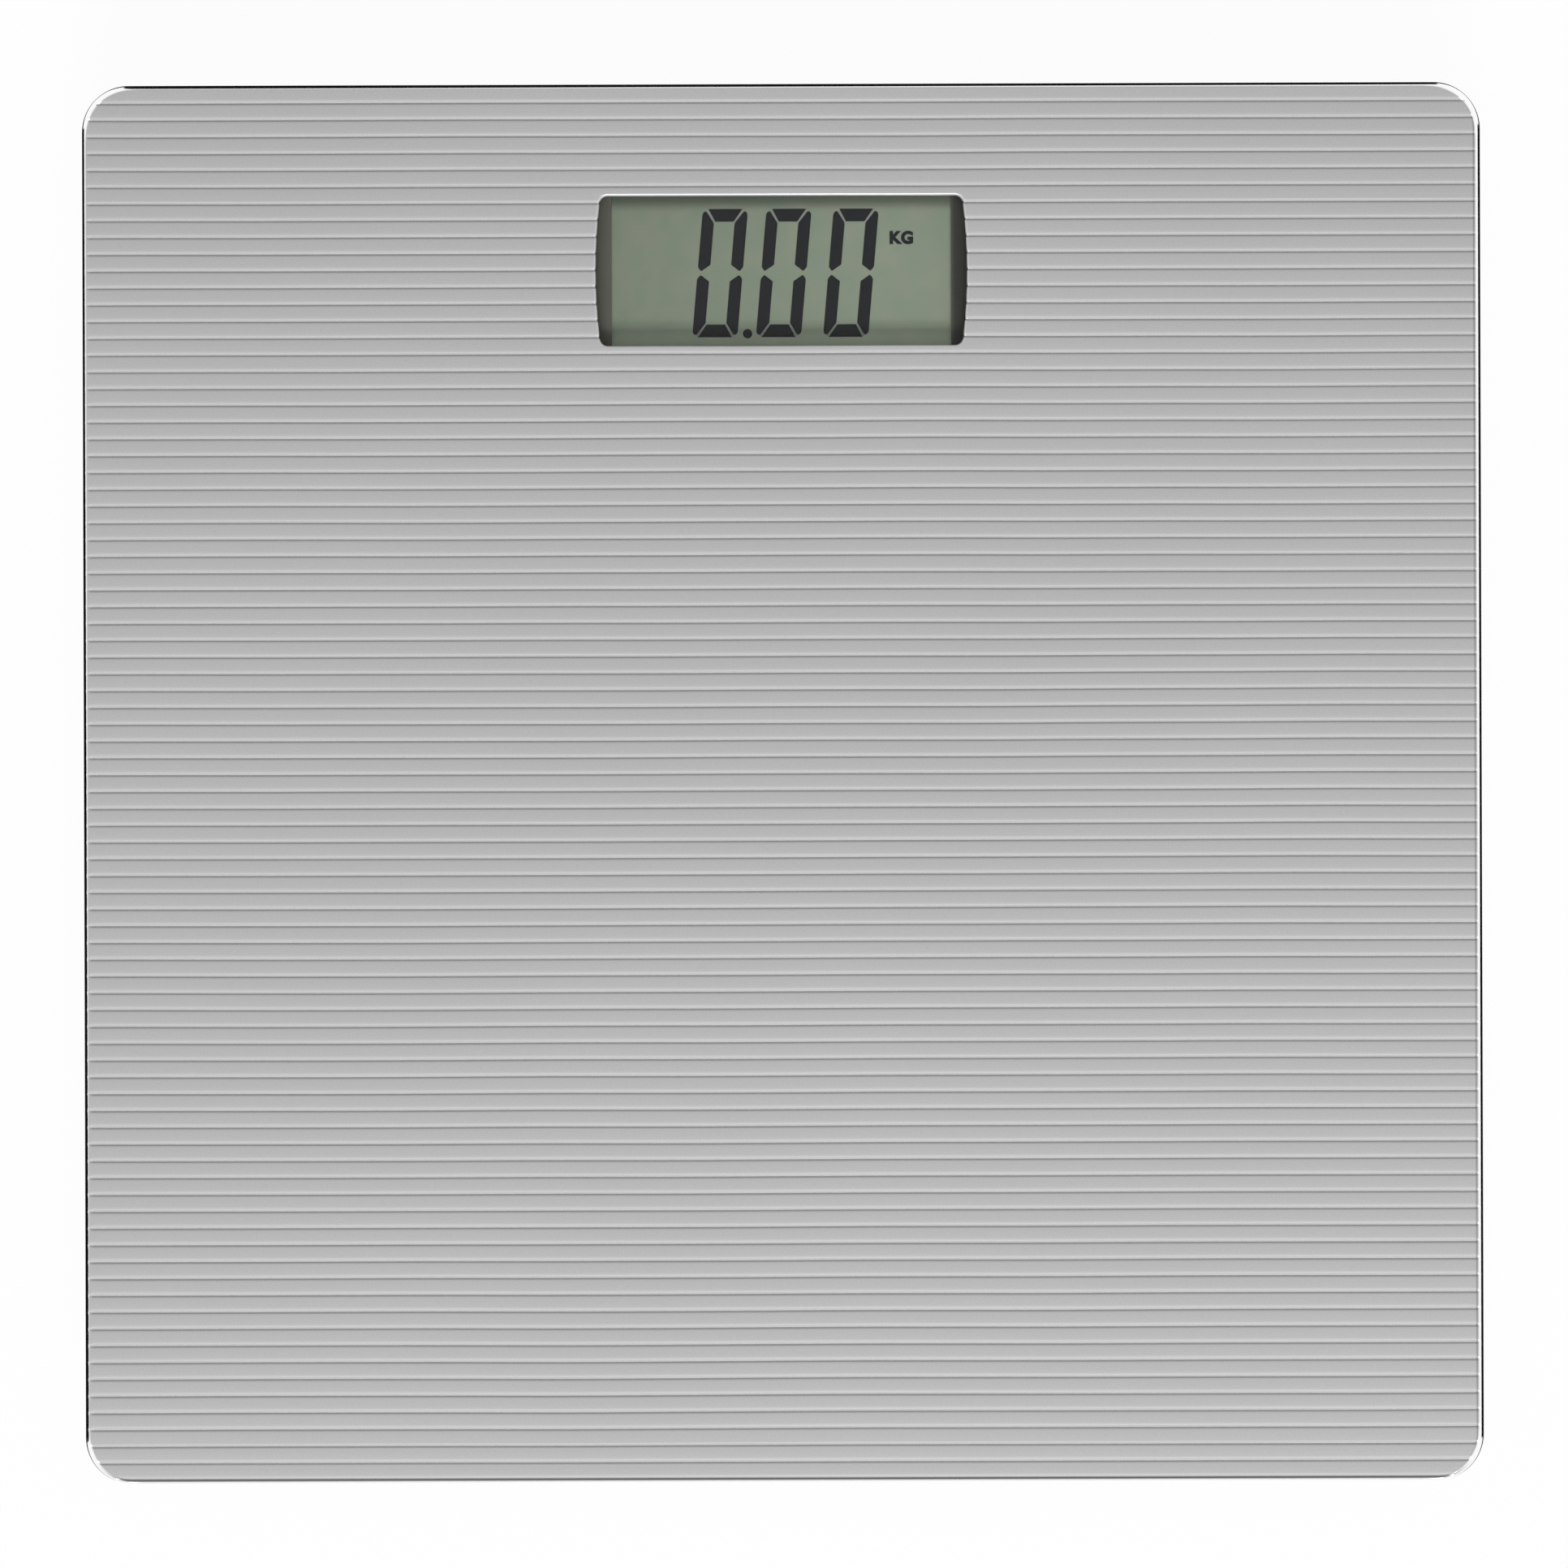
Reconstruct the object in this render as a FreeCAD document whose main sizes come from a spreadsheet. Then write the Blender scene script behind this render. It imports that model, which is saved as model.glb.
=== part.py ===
import FreeCAD, Part
import math
import os
import re

import Sketcher
from FreeCAD import Placement, Rotation, Vector

# Digital bathroom scale. Millimetres, +Z up, the origin on the floor under the middle of the platform.
# The user stands facing +Y; the display is near the rear (+Y) edge. The weight goes from the ribbed
# cover into the platform frame, through four load cells, and down through four feet that slide in the tray.

SIZES = {
    # ribbed platform cover
    "platform_width": 300,
    "platform_depth": 300,
    "corner_radius": 10,
    "overall_height": 26,
    "cover_sheet": 1.2,
    "cover_skirt": 9,
    "edge_round": 1.2,
    "rib_pitch": 3.6,
    "first_groove": 4,
    "last_land": 2,
    "groove_depth": 0.3,
    "groove_fall": 0.7,
    "groove_rise": 0.5,
    # display window
    "display_setback": 40.1,
    "window_width": 77.5,
    "window_depth": 32.2,
    "window_bow": 1.05,
    "window_corner": 2,
    "window_lip": 0.5,
    # platform frame
    "frame_play": 0.2,
    "plate_thickness": 2.2,
    "frame_wall": 1.8,
    "frame_depth": 7.2,
    "grid_spacing": 30,
    "grid_rib": 1.6,
    "grid_height": 4.6,
    "grid_margin": 12,
    "well_gap": 2,
    "well_wall": 1.6,
    "board_clearance": 0.5,
    # base tray
    "tray_lift": 6,
    "tray_floor": 2,
    "tray_wall": 2,
    "tray_inset": 10,
    "tray_rim_inset": 2,
    "tray_corner": 8,
    "tray_edge_round": 3,
    "label_width": 60,
    "label_depth": 30,
    "label_recess": 0.3,
    # feet and load cells
    "foot_inset": 45,
    "foot_radius": 25.5,
    "foot_play": 0.5,
    "foot_wall": 2,
    "foot_travel": 0.5,
    "flange_reach": 2.5,
    "flange_thickness": 1.4,
    "flange_gap": 0.4,
    "post_radius": 5,
    "foot_ribs": 3,
    "pad_rim": 3,
    "pad_thickness": 2.3,
    "pad_seat": 0.8,
    "pad_play": 0.1,
    "pad_ring": 5,
    "ring_groove": 1.2,
    "ring_groove_depth": 0.6,
    "cell_side": 34,
    "cell_corner": 3,
    "cell_thickness": 2,
    "cell_height": 14,
    "cell_play": 0.2,
    "slot_width": 20,
    "slot_length": 18,
    "tongue_width": 11,
    "tongue_gap": 3.5,
    "gauge_width": 8,
    "gauge_length": 3.5,
    "gauge_thickness": 0.8,
    "seat_wall": 1.8,
    "ledge_wall": 2,
    "ledge_opening": 25,
    "ear_reach": 6,
    "ear_width": 8,
    "retainer_thickness": 1.5,
    "retainer_opening": 27,
    # screws
    "tray_screw_radius": 1.2,
    "tray_screw_length": 9,
    "tray_head_radius": 3,
    "tray_head_height": 2,
    "tray_head_recess": 3,
    "tray_post_floor": 1.5,
    "tray_post_radius": 5.2,
    "frame_post_radius": 4,
    "tray_screw_inset": 16.5,
    "rear_screw_gap": 9,
    "side_screw_offset": 62,
    "small_screw_radius": 0.9,
    "small_screw_length": 5,
    "small_head_radius": 1.8,
    "small_head_height": 1.4,
    "small_post_radius": 3,
    "screw_play": 0.2,
    "pilot_play": 0.05,
    "drive_width": 0.7,
    # display and main board
    "lens_border": 4.2,
    "lens_thickness": 1.5,
    "lens_play": 0.5,
    "tape_thickness": 0.2,
    "tape_reveal": 0.7,
    "board_width": 106,
    "board_depth": 50,
    "board_thickness": 1.6,
    "board_top": 16.7,
    "board_screw_inset": 4,
    "zebra_height": 2,
    "zebra_width": 2.2,
    "zebra_length": 78,
    "panel_width": 84,
    "panel_depth": 36,
    "panel_thickness": 2.6,
    "bezel_wall": 1.8,
    "bezel_lip": 0.9,
    "bezel_play": 0.1,
    "bezel_view_width": 73,
    "bezel_view_depth": 33.6,
    "coating_radius": 6,
    "coating_height": 1.5,
    "chip_size": 2,
    "chip_height": 0.6,
    "header_width": 6,
    "header_depth": 5,
    "header_pitch": 8,
    "header_inset": 1,
    # unit button and its switch
    "button_x": 30,
    "button_radius": 4.5,
    "button_play": 0.25,
    "button_recess": 0.4,
    "button_dish_radius": 8,
    "button_dish": 0.8,
    "button_flange": 6,
    "button_flange_thickness": 1,
    "button_flange_gap": 0.2,
    "button_stem": 1.6,
    "button_travel": 0.3,
    "switch_side": 6,
    "switch_height": 3.5,
    "plunger_radius": 1.75,
    "plunger_reach": 0.8,
    "plunger_play": 0.1,
    # coin battery, its holder and its cap
    "battery_x": 28,
    "battery_radius": 10,
    "battery_thickness": 3.2,
    "contact_space": 0.7,
    "contact_strip": 0.3,
    "holder_wall": 1.8,
    "battery_play": 0.2,
    "cap_radius": 17.4,
    "cap_play": 0.4,
    "cap_flange": 1,
    "cap_neck": 13.7,
    "cap_neck_wall": 1.6,
    "cap_bore_play": 0.3,
    "cap_lug_reach": 2.3,
    "cap_lug_width": 10.6,
    "cap_lug_height": 1.2,
    "cap_axial_play": 0.1,
    "cap_seat_radius": 20,
    "cap_seat_height": 1.2,
    "cap_turn": 60,
    "coin_slot_length": 16,
    "coin_slot_width": 1.8,
    "coin_slot_depth": 1.6,
    "coin_slot_bar": 6,
    # load cell wires
    "wire_radius": 0.45,
    "wire_spacing": 1.2,
    "wire_clearance": 1.1,
    "wire_bend": 2.2,
    "rear_wire_x": 64,
    "rear_wire_gap": 8.9,
    "front_wire_x": 56,
    "front_wire_gap": 20.9,
    "wire_rest_gap": 0.05,
    "wire_rest_width": 7,
    "wire_rest_length": 2.5,
}

doc = FreeCAD.newDocument("BathroomScale")
sheet = doc.addObject("Spreadsheet::Sheet", "Dims")
for row, (alias, size) in enumerate(SIZES.items(), start=1):
    sheet.set(f"A{row}", alias)
    sheet.set(f"B{row}", str(size))
    sheet.setAlias(f"B{row}", alias)
doc.recompute()

# Heights and places worked out from the driving sizes, as formulas of the sheet's aliases.
UNDER_COVER = "(overall_height - cover_sheet)"
PLATE_BOTTOM = f"({UNDER_COVER} - plate_thickness)"
FRAME_BOTTOM = f"({UNDER_COVER} - frame_depth)"
FRAME_WIDTH = "(platform_width - 2 * cover_sheet - 2 * frame_play)"
FRAME_DEPTH = "(platform_depth - 2 * cover_sheet - 2 * frame_play)"
FRAME_CORNER = "(corner_radius - cover_sheet - frame_play)"
FLOOR_TOP = "(tray_lift + tray_floor)"
DISPLAY_Y = "(platform_depth / 2 - display_setback)"
BOARD_BOTTOM = "(board_top - board_thickness)"
PANEL_BOTTOM = "(board_top + zebra_height)"
BEZEL_INSIDE_TOP = f"({PANEL_BOTTOM} + panel_thickness + bezel_play)"
BEZEL_TOP = f"({BEZEL_INSIDE_TOP} + bezel_lip)"
BEZEL_WIDTH = "(panel_width + 4 * bezel_play + 2 * bezel_wall)"
BEZEL_DEPTH = "(panel_depth + 4 * bezel_play + 2 * bezel_wall)"
LENS_WIDTH = "(window_width + 2 * window_bow + 2 * lens_border)"
LENS_DEPTH = "(window_depth + 2 * lens_border)"
FOOT_X = "(platform_width / 2 - foot_inset)"
FOOT_Y = "(platform_depth / 2 - foot_inset)"
PUCK_BOTTOM = "(pad_thickness - pad_seat)"
FLANGE_BOTTOM = f"({FLOOR_TOP} + flange_gap)"
FLANGE_TOP = f"({FLANGE_BOTTOM} + flange_thickness)"
FLANGE_RADIUS = "(foot_radius + flange_reach)"
PAD_RADIUS = "(foot_radius - pad_rim)"
WIRE_Z = f"({FLANGE_TOP} + foot_travel + wire_clearance)"
CELL_TOP = "(cell_height + cell_thickness)"
SEAT_INSIDE = "(cell_side + 2 * cell_play)"
SEAT_OUTSIDE = f"({SEAT_INSIDE} + 2 * seat_wall)"
RETAINER_BOTTOM = "(cell_height - retainer_thickness)"
EAR_OFFSET = "(cell_side / 2 + ear_reach)"
TRAY_POST_TOP = "(tray_lift + tray_head_recess + tray_post_floor)"
REAR_SCREW_X = "(board_width / 2 + rear_screw_gap)"
REAR_SCREW_Y = "(platform_depth / 2 - tray_screw_inset)"
SIDE_SCREW_X = "(platform_width / 2 - tray_screw_inset)"
BOARD_SCREW_X = "(board_width / 2 - board_screw_inset)"
BOARD_SCREW_Y = "(board_depth / 2 - board_screw_inset)"
BOARD_FRONT = f"({DISPLAY_Y} - board_depth / 2)"
REAR_WIRE_Y = f"({BOARD_FRONT} - rear_wire_gap)"
FRONT_WIRE_Y = f"({BOARD_FRONT} - front_wire_gap)"
SWITCH_BOTTOM = f"({BOARD_BOTTOM} - switch_height)"
BATTERY_TOP = f"({BOARD_BOTTOM} - contact_space)"
BATTERY_BOTTOM = f"({BATTERY_TOP} - battery_thickness)"
CAP_WEB_BOTTOM = "(tray_lift + cap_flange + cap_axial_play)"
CAP_WEB_TOP = f"({FLOOR_TOP} + cap_seat_height)"
LUG_BOTTOM = f"({CAP_WEB_TOP} + 2 * cap_axial_play)"
CORNERS = {"front_left": (-1, -1), "front_right": (1, -1), "rear_left": (-1, 1), "rear_right": (1, 1)}


def formula(text):
    """Point every alias in a formula at the sheet."""
    return re.sub(r"[a-z]+(?:_[a-z]+)+", r"Dims.\g<0>", text)


def size_of(text):
    """Number that a formula gives now, for first placing what a bound constraint then holds."""
    result = sheet.evalExpression(formula(text))
    return float(getattr(result, "Value", result))


def bind(owner, name, text):
    owner.setExpression(name, formula(text))


def bind_point(owner, name, x, y, z):
    for axis, text in (("x", x), ("y", y), ("z", z)):
        if text != "0":
            bind(owner, f"{name}.{axis}", text)


def origin_item(body, role):
    return next(item for item in body.Origin.OriginFeatures if item.Role == role)


def new_body(label, x="0", y="0", turn=0):
    """Body with its own placement; turn is its angle about Z in degrees."""
    body = doc.addObject("PartDesign::Body", label)
    body.Label = label
    body.Placement = Placement(Vector(), Rotation(Vector(0, 0, 1), turn))
    bind_point(body, "Placement.Base", x, y, "0")
    return body


def new_sketch(body, name, x="0", y="0", z="0", plane="XY_Plane", turn=None):
    """Sketch on an origin plane, shifted to x, y, z and turned about its own normal."""
    sketch = body.newObject("Sketcher::SketchObject", f"{body.Name}_{name}")
    sketch.AttachmentSupport = [(origin_item(body, plane), "")]
    sketch.MapMode = "FlatFace"
    bind_point(sketch, "AttachmentOffset.Base", x, y, z)
    if turn:
        bind(sketch, "AttachmentOffset.Rotation.Angle", turn)
    return sketch


def constrain(sketch, kind, *places, size=None):
    """Add a constraint, and bind its datum when it has one."""
    if size is None:
        return sketch.addConstraint(Sketcher.Constraint(kind, *places))
    index = sketch.addConstraint(Sketcher.Constraint(kind, *places, size_of(size)))
    bind(sketch, f"Constraints[{index}]", size)
    return index


def fix_point(sketch, item, end, x, y):
    """Hold a point of the sketch at x, y from its origin, with positive datums only."""
    for kind, axis, text in (("DistanceX", -2, x), ("DistanceY", -1, y)):
        distance = size_of(text)
        if abs(distance) < 1e-9:
            constrain(sketch, "PointOnObject", item, end, axis)
        elif distance > 0:
            constrain(sketch, kind, -1, 1, item, end, size=text)
        else:
            constrain(sketch, kind, item, end, -1, 1, size=f"-({text})")


def outline(sketch, points):
    """Closed outline of straight lines through points given as formulas."""
    places = [Vector(size_of(x), size_of(y), 0) for x, y in points]
    first = sketch.GeometryCount
    count = len(points)
    for index in range(count):
        sketch.addGeometry(Part.LineSegment(places[index], places[(index + 1) % count]), False)
    for index, (x, y) in enumerate(points):
        constrain(sketch, "Coincident", first + (index - 1) % count, 2, first + index, 1)
        fix_point(sketch, first + index, 1, x, y)


def rectangle(sketch, width, depth):
    """Plain rectangle centred on the sketch's origin."""
    x = f"({width}) / 2"
    y = f"({depth}) / 2"
    outline(sketch, [(f"-{x}", f"-{y}"), (x, f"-{y}"), (x, y), (f"-{x}", y)])


def rounded_rectangle(sketch, width, depth, radius):
    """Rectangle with four round corners, centred on the sketch's origin."""
    x = size_of(width) / 2
    y = size_of(depth) / 2
    r = size_of(radius)
    centres = [(x - r, r - y), (x - r, y - r), (r - x, y - r), (r - x, r - y)]
    first = sketch.GeometryCount
    ends = [(r - x, -y, x - r, -y), (x, r - y, x, y - r), (x - r, y, r - x, y), (-x, y - r, -x, r - y)]
    for x0, y0, x1, y1 in ends:
        sketch.addGeometry(Part.LineSegment(Vector(x0, y0, 0), Vector(x1, y1, 0)), False)
    for quarter, (cx, cy) in enumerate(centres):
        circle = Part.Circle(Vector(cx, cy, 0), Vector(0, 0, 1), r)
        start = (quarter - 1) * math.pi / 2
        sketch.addGeometry(Part.ArcOfCircle(circle, start, start + math.pi / 2), False)
    lines = list(range(first, first + 4))
    arcs = list(range(first + 4, first + 8))
    for side in range(4):
        constrain(sketch, "Tangent", lines[side], 2, arcs[side], 1)
        constrain(sketch, "Tangent", arcs[side], 2, lines[(side + 1) % 4], 1)
        constrain(sketch, "Vertical" if side % 2 else "Horizontal", lines[side])
        if side:
            constrain(sketch, "Equal", arcs[0], arcs[side])
    constrain(sketch, "Radius", arcs[0], size=radius)
    constrain(sketch, "DistanceX", lines[3], 1, lines[1], 1, size=width)
    constrain(sketch, "DistanceY", lines[0], 1, lines[2], 1, size=depth)
    constrain(sketch, "Symmetric", arcs[0], 3, arcs[2], 3, -1, 1)


def circles(sketch, radius, centres=(("0", "0"),)):
    """Circles of one radius at centres given as formulas."""
    for x, y in centres:
        place = Vector(size_of(x), size_of(y), 0)
        item = sketch.addGeometry(Part.Circle(place, Vector(0, 0, 1), size_of(radius)), False)
        constrain(sketch, "Radius", item, size=radius)
        fix_point(sketch, item, 3, x, y)


def round_ended_bar(sketch, radius, width):
    """Bar through the sketch's origin along X, its two ends arcs about the origin."""
    r = size_of(radius)
    half = size_of(width) / 2
    lean = math.asin(half / r)
    reach = r * math.cos(lean)
    circle = Part.Circle(Vector(), Vector(0, 0, 1), r)
    right = sketch.addGeometry(Part.ArcOfCircle(circle, -lean, lean), False)
    left = sketch.addGeometry(Part.ArcOfCircle(circle, math.pi - lean, math.pi + lean), False)
    top = sketch.addGeometry(Part.LineSegment(Vector(reach, half, 0), Vector(-reach, half, 0)), False)
    low = sketch.addGeometry(Part.LineSegment(Vector(-reach, -half, 0), Vector(reach, -half, 0)), False)
    for first, second in ((right, top), (top, left), (left, low), (low, right)):
        constrain(sketch, "Coincident", first, 2, second, 1)
    constrain(sketch, "Coincident", right, 3, -1, 1)
    constrain(sketch, "Coincident", left, 3, -1, 1)
    constrain(sketch, "Horizontal", top)
    constrain(sketch, "Horizontal", low)
    constrain(sketch, "Radius", right, size=radius)
    constrain(sketch, "Equal", right, left)
    constrain(sketch, "DistanceY", low, 1, top, 1, size=width)
    constrain(sketch, "DistanceY", -1, 1, top, 1, size=f"({width}) / 2")


def extrude(body, kind, sketch, length):
    """Pad or pocket that runs up (+Z) from its sketch by length."""
    feature = body.newObject(f"PartDesign::{kind}", f"{sketch.Name}_{kind.lower()}")
    feature.Profile = sketch
    feature.Type = "Length"
    bind(feature, "Length", length)
    feature.Reversed = kind == "Pocket"
    feature.Refine = False
    return feature


def revolve(body, sketch):
    """Full turn of an XZ-plane sketch about the body's Z axis."""
    feature = body.newObject("PartDesign::Revolution", f"{sketch.Name}_revolution")
    feature.Profile = sketch
    feature.ReferenceAxis = (origin_item(body, "Z_Axis"), [""])
    feature.Angle = 360
    return feature


def mirror_both_ways(body, name, features):
    """Repeat features about the YZ and the XZ plane."""
    both = body.newObject("PartDesign::MultiTransform", f"{body.Name}_{name}")
    mirrors = []
    for role in ("YZ_Plane", "XZ_Plane"):
        mirror = body.newObject("PartDesign::Mirrored", f"{body.Name}_{name}_{role[:2]}")
        mirror.MirrorPlane = (origin_item(body, role), [""])
        mirrors.append(mirror)
    both.Originals = features
    both.Transformations = mirrors
    both.Refine = False
    body.Tip = both
    return both


def round_off(body, name, base, edges, radius):
    """Fillet of named edges or faces of the feature before it."""
    fillet = body.newObject("PartDesign::Fillet", f"{body.Name}_{name}")
    fillet.Base = (base, edges)
    bind(fillet, "Radius", radius)
    return fillet


def flat_face_at(feature, z):
    """Name of the largest face that lies flat at height z."""
    flat = [(face.Area, f"Face{number}") for number, face in enumerate(feature.Shape.Faces, start=1)
            if face.BoundBox.ZLength < 1e-6 and abs(face.BoundBox.ZMin - z) < 1e-6]
    return max(flat)[1]


def edges_within(feature, low, high):
    """Names of the edges that lie wholly between two corners."""
    room = FreeCAD.BoundBox(low, high)
    return [f"Edge{number}" for number, edge in enumerate(feature.Shape.Edges, start=1)
            if room.isInside(edge.BoundBox)]


def solid(kind, name, x="0", y="0", z="0", **sizes):
    """Part primitive with its sizes and place bound to formulas."""
    item = doc.addObject(f"Part::{kind}", name)
    for key, text in sizes.items():
        bind(item, key, text)
    bind_point(item, "Placement.Base", x, y, z)
    return item


def block(name, x, y, z, width, depth, height):
    """Part::Box centred on x and y, standing on z."""
    return solid("Box", name, f"{x} - ({width}) / 2", f"{y} - ({depth}) / 2", z,
                 Length=width, Width=depth, Height=height)


def join(name, pieces):
    fused = doc.addObject("Part::MultiFuse", name)
    fused.Shapes = pieces
    return fused


def cut(name, base, tool):
    result = doc.addObject("Part::Cut", name)
    result.Base = base
    result.Tool = tool
    return result


def group(label, pieces):
    """One node that holds several separate solids."""
    compound = doc.addObject("Part::Compound", label)
    compound.Links = pieces
    return compound


sub_parts = []


def keep(label, item):
    """Give a finished sub-part its name and list it for writing."""
    item.Label = label
    sub_parts.append(item)
    return item


def platform_cover():
    """Ribbed sheet with a turned-down skirt and the bowed display window."""
    body = new_body("platform_cover")
    skirt_bottom = "overall_height - cover_skirt"
    outer = new_sketch(body, "outer", z=skirt_bottom)
    rounded_rectangle(outer, "platform_width", "platform_depth", "corner_radius")
    shell = extrude(body, "Pad", outer, "cover_skirt")
    doc.recompute()
    top = size_of("overall_height")
    edge = round_off(body, "edge", shell, [flat_face_at(shell, top)], "edge_round")
    inner = new_sketch(body, "inner", z=skirt_bottom)
    rounded_rectangle(inner, "platform_width - 2 * cover_sheet", "platform_depth - 2 * cover_sheet",
                      "corner_radius - cover_sheet")
    extrude(body, "Pocket", inner, "cover_skirt - cover_sheet")
    window = new_sketch(body, "window", y=DISPLAY_Y, z=UNDER_COVER)
    window_outline(window)
    opening = extrude(body, "Pocket", window, "cover_sheet")
    doc.recompute()
    x = size_of("window_width / 2")
    y = size_of(DISPLAY_Y)
    reach = size_of("window_depth / 2")
    upright = []
    for side_x in (-x, x):
        for side_y in (y - reach, y + reach):
            here = Vector(side_x, side_y, 0)
            low = here - Vector(0.1, 0.1, 0)
            high = here + Vector(0.1, 0.1, top + 1)
            upright += edges_within(opening, low, high)
    corners = round_off(body, "window_corners", opening, upright, "window_corner")
    doc.recompute()
    margin = size_of("window_bow + window_lip")
    rim = edges_within(corners, Vector(-x - margin, y - reach - margin, top - 0.01),
                       Vector(x + margin, y + reach + margin, top + 0.01))
    round_off(body, "window_lip", corners, rim, "window_lip")
    cover_grooves(body)
    return keep("platform_cover", body)


def window_outline(sketch):
    """Straight front and rear edges, and sides that bow outwards."""
    half_width = size_of("window_width / 2")
    half_depth = size_of("window_depth / 2")
    bow = size_of("window_bow")
    corners = [(1, -1), (1, 1), (-1, 1), (-1, -1)]
    places = [Vector(sx * half_width, sy * half_depth, 0) for sx, sy in corners]
    right = sketch.addGeometry(Part.Arc(places[0], Vector(half_width + bow, 0, 0), places[1]), False)
    rear = sketch.addGeometry(Part.LineSegment(places[1], places[2]), False)
    left = sketch.addGeometry(Part.Arc(places[2], Vector(-half_width - bow, 0, 0), places[3]), False)
    front = sketch.addGeometry(Part.LineSegment(places[3], places[0]), False)
    for first, second in ((right, rear), (rear, left), (left, front), (front, right)):
        constrain(sketch, "Coincident", first, 2, second, 1)
    for item, (sx, sy) in zip((right, rear, left, front), corners):
        fix_point(sketch, item, 1, f"{sx} * window_width / 2", f"{sy} * window_depth / 2")
    for side in (right, left):
        constrain(sketch, "Radius", side, size="((window_depth / 2)^2 + window_bow^2) / (2 * window_bow)")


def cover_grooves(body):
    """V grooves across the whole width, one rib pitch apart from the rear edge to the front one."""
    groove = new_sketch(body, "groove", plane="YZ_Plane")
    bottom = "platform_depth / 2 - first_groove"
    outline(groove, [(f"{bottom} + groove_fall", "overall_height"),
                     (bottom, "overall_height - groove_depth"),
                     (f"{bottom} - groove_rise", "overall_height"),
                     (f"{bottom} - groove_rise", "overall_height + cover_sheet"),
                     (f"{bottom} + groove_fall", "overall_height + cover_sheet")])
    channel = extrude(body, "Pocket", groove, "platform_width + 2 * cover_sheet")
    channel.SideType = "Symmetric"
    repeat = body.newObject("PartDesign::LinearPattern", "platform_cover_grooves")
    repeat.Originals = [channel]
    repeat.Direction = (groove, ["H_Axis"])
    repeat.Reversed = True
    repeat.Mode = "Spacing"
    bind(repeat, "Offset", "rib_pitch")
    bind(repeat, "Occurrences", "floor((platform_depth - first_groove - last_land) / rib_pitch) + 1")
    repeat.Refine = False
    body.Tip = repeat


def platform_frame():
    """Moulded plate under the cover with a wall, a rib grid, four load cell seats and screw posts."""
    body = new_body("platform_frame")
    plate = new_sketch(body, "plate", z=PLATE_BOTTOM)
    rounded_rectangle(plate, FRAME_WIDTH, FRAME_DEPTH, FRAME_CORNER)
    extrude(body, "Pad", plate, "plate_thickness")
    wall = new_sketch(body, "wall", z=FRAME_BOTTOM)
    rounded_rectangle(wall, FRAME_WIDTH, FRAME_DEPTH, FRAME_CORNER)
    rounded_rectangle(wall, f"{FRAME_WIDTH} - 2 * frame_wall", f"{FRAME_DEPTH} - 2 * frame_wall",
                      f"{FRAME_CORNER} - frame_wall")
    extrude(body, "Pad", wall, f"{PLATE_BOTTOM} - {FRAME_BOTTOM}")
    rib_grid(body)
    display_well(body)
    load_cell_seats(body)
    frame_screw_posts(body)
    return keep("platform_frame", body)


def rib_grid(body):
    """Ribs both ways under the plate, one spacing apart and centred on the platform."""
    for name, along, across, axis in (("ribs_along_y", FRAME_DEPTH, "platform_width", "X_Axis"),
                                      ("ribs_along_x", FRAME_WIDTH, "platform_depth", "Y_Axis")):
        steps = f"floor(({across} / 2 - grid_margin) / grid_spacing)"
        start = f"-{steps} * grid_spacing"
        lengthwise = axis == "X_Axis"
        rib = new_sketch(body, name, x=start if lengthwise else "0", y="0" if lengthwise else start,
                         z=f"{PLATE_BOTTOM} - grid_height")
        length = f"{along} - frame_wall"
        if lengthwise:
            rectangle(rib, "grid_rib", length)
        else:
            rectangle(rib, length, "grid_rib")
        first = extrude(body, "Pad", rib, "grid_height")
        repeat = body.newObject("PartDesign::LinearPattern", f"{body.Name}_{name}")
        repeat.Originals = [first]
        repeat.Direction = (origin_item(body, axis), [""])
        repeat.Mode = "Spacing"
        bind(repeat, "Offset", "grid_spacing")
        bind(repeat, "Occurrences", f"2 * {steps} + 1")
        repeat.Refine = False
        body.Tip = repeat


def display_well(body):
    """Walled well round the display, open to the window above it, and the four board posts."""
    well_width = f"{BEZEL_WIDTH} + 2 * well_gap"
    well_depth = f"{BEZEL_DEPTH} + 2 * well_gap"
    well_bottom = "(board_top + board_clearance)"
    clearing = new_sketch(body, "clearing", y=DISPLAY_Y, z=f"{PLATE_BOTTOM} - grid_height")
    rectangle(clearing, well_width, well_depth)
    extrude(body, "Pocket", clearing, "grid_height")
    wall = new_sketch(body, "well", y=DISPLAY_Y, z=well_bottom)
    rectangle(wall, f"{well_width} + 2 * well_wall", f"{well_depth} + 2 * well_wall")
    rectangle(wall, well_width, well_depth)
    extrude(body, "Pad", wall, f"{PLATE_BOTTOM} - {well_bottom}")
    opening = new_sketch(body, "opening", y=DISPLAY_Y, z=PLATE_BOTTOM)
    rectangle(opening, f"{LENS_WIDTH} + 2 * lens_play", f"{LENS_DEPTH} + 2 * lens_play")
    extrude(body, "Pocket", opening, "plate_thickness")
    posts = new_sketch(body, "board_posts", y=DISPLAY_Y, z="board_top")
    circles(posts, "small_post_radius", four_ways(BOARD_SCREW_X, BOARD_SCREW_Y))
    extrude(body, "Pad", posts, f"{PLATE_BOTTOM} - board_top")
    pilots = new_sketch(body, "board_pilots", y=DISPLAY_Y, z="board_top")
    circles(pilots, "small_screw_radius + pilot_play", four_ways(BOARD_SCREW_X, BOARD_SCREW_Y))
    extrude(body, "Pocket", pilots, "small_screw_length")


def four_ways(x, y):
    return [(f"{sx} * {x}", f"{sy} * {y}") for sx, sy in CORNERS.values()]


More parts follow.
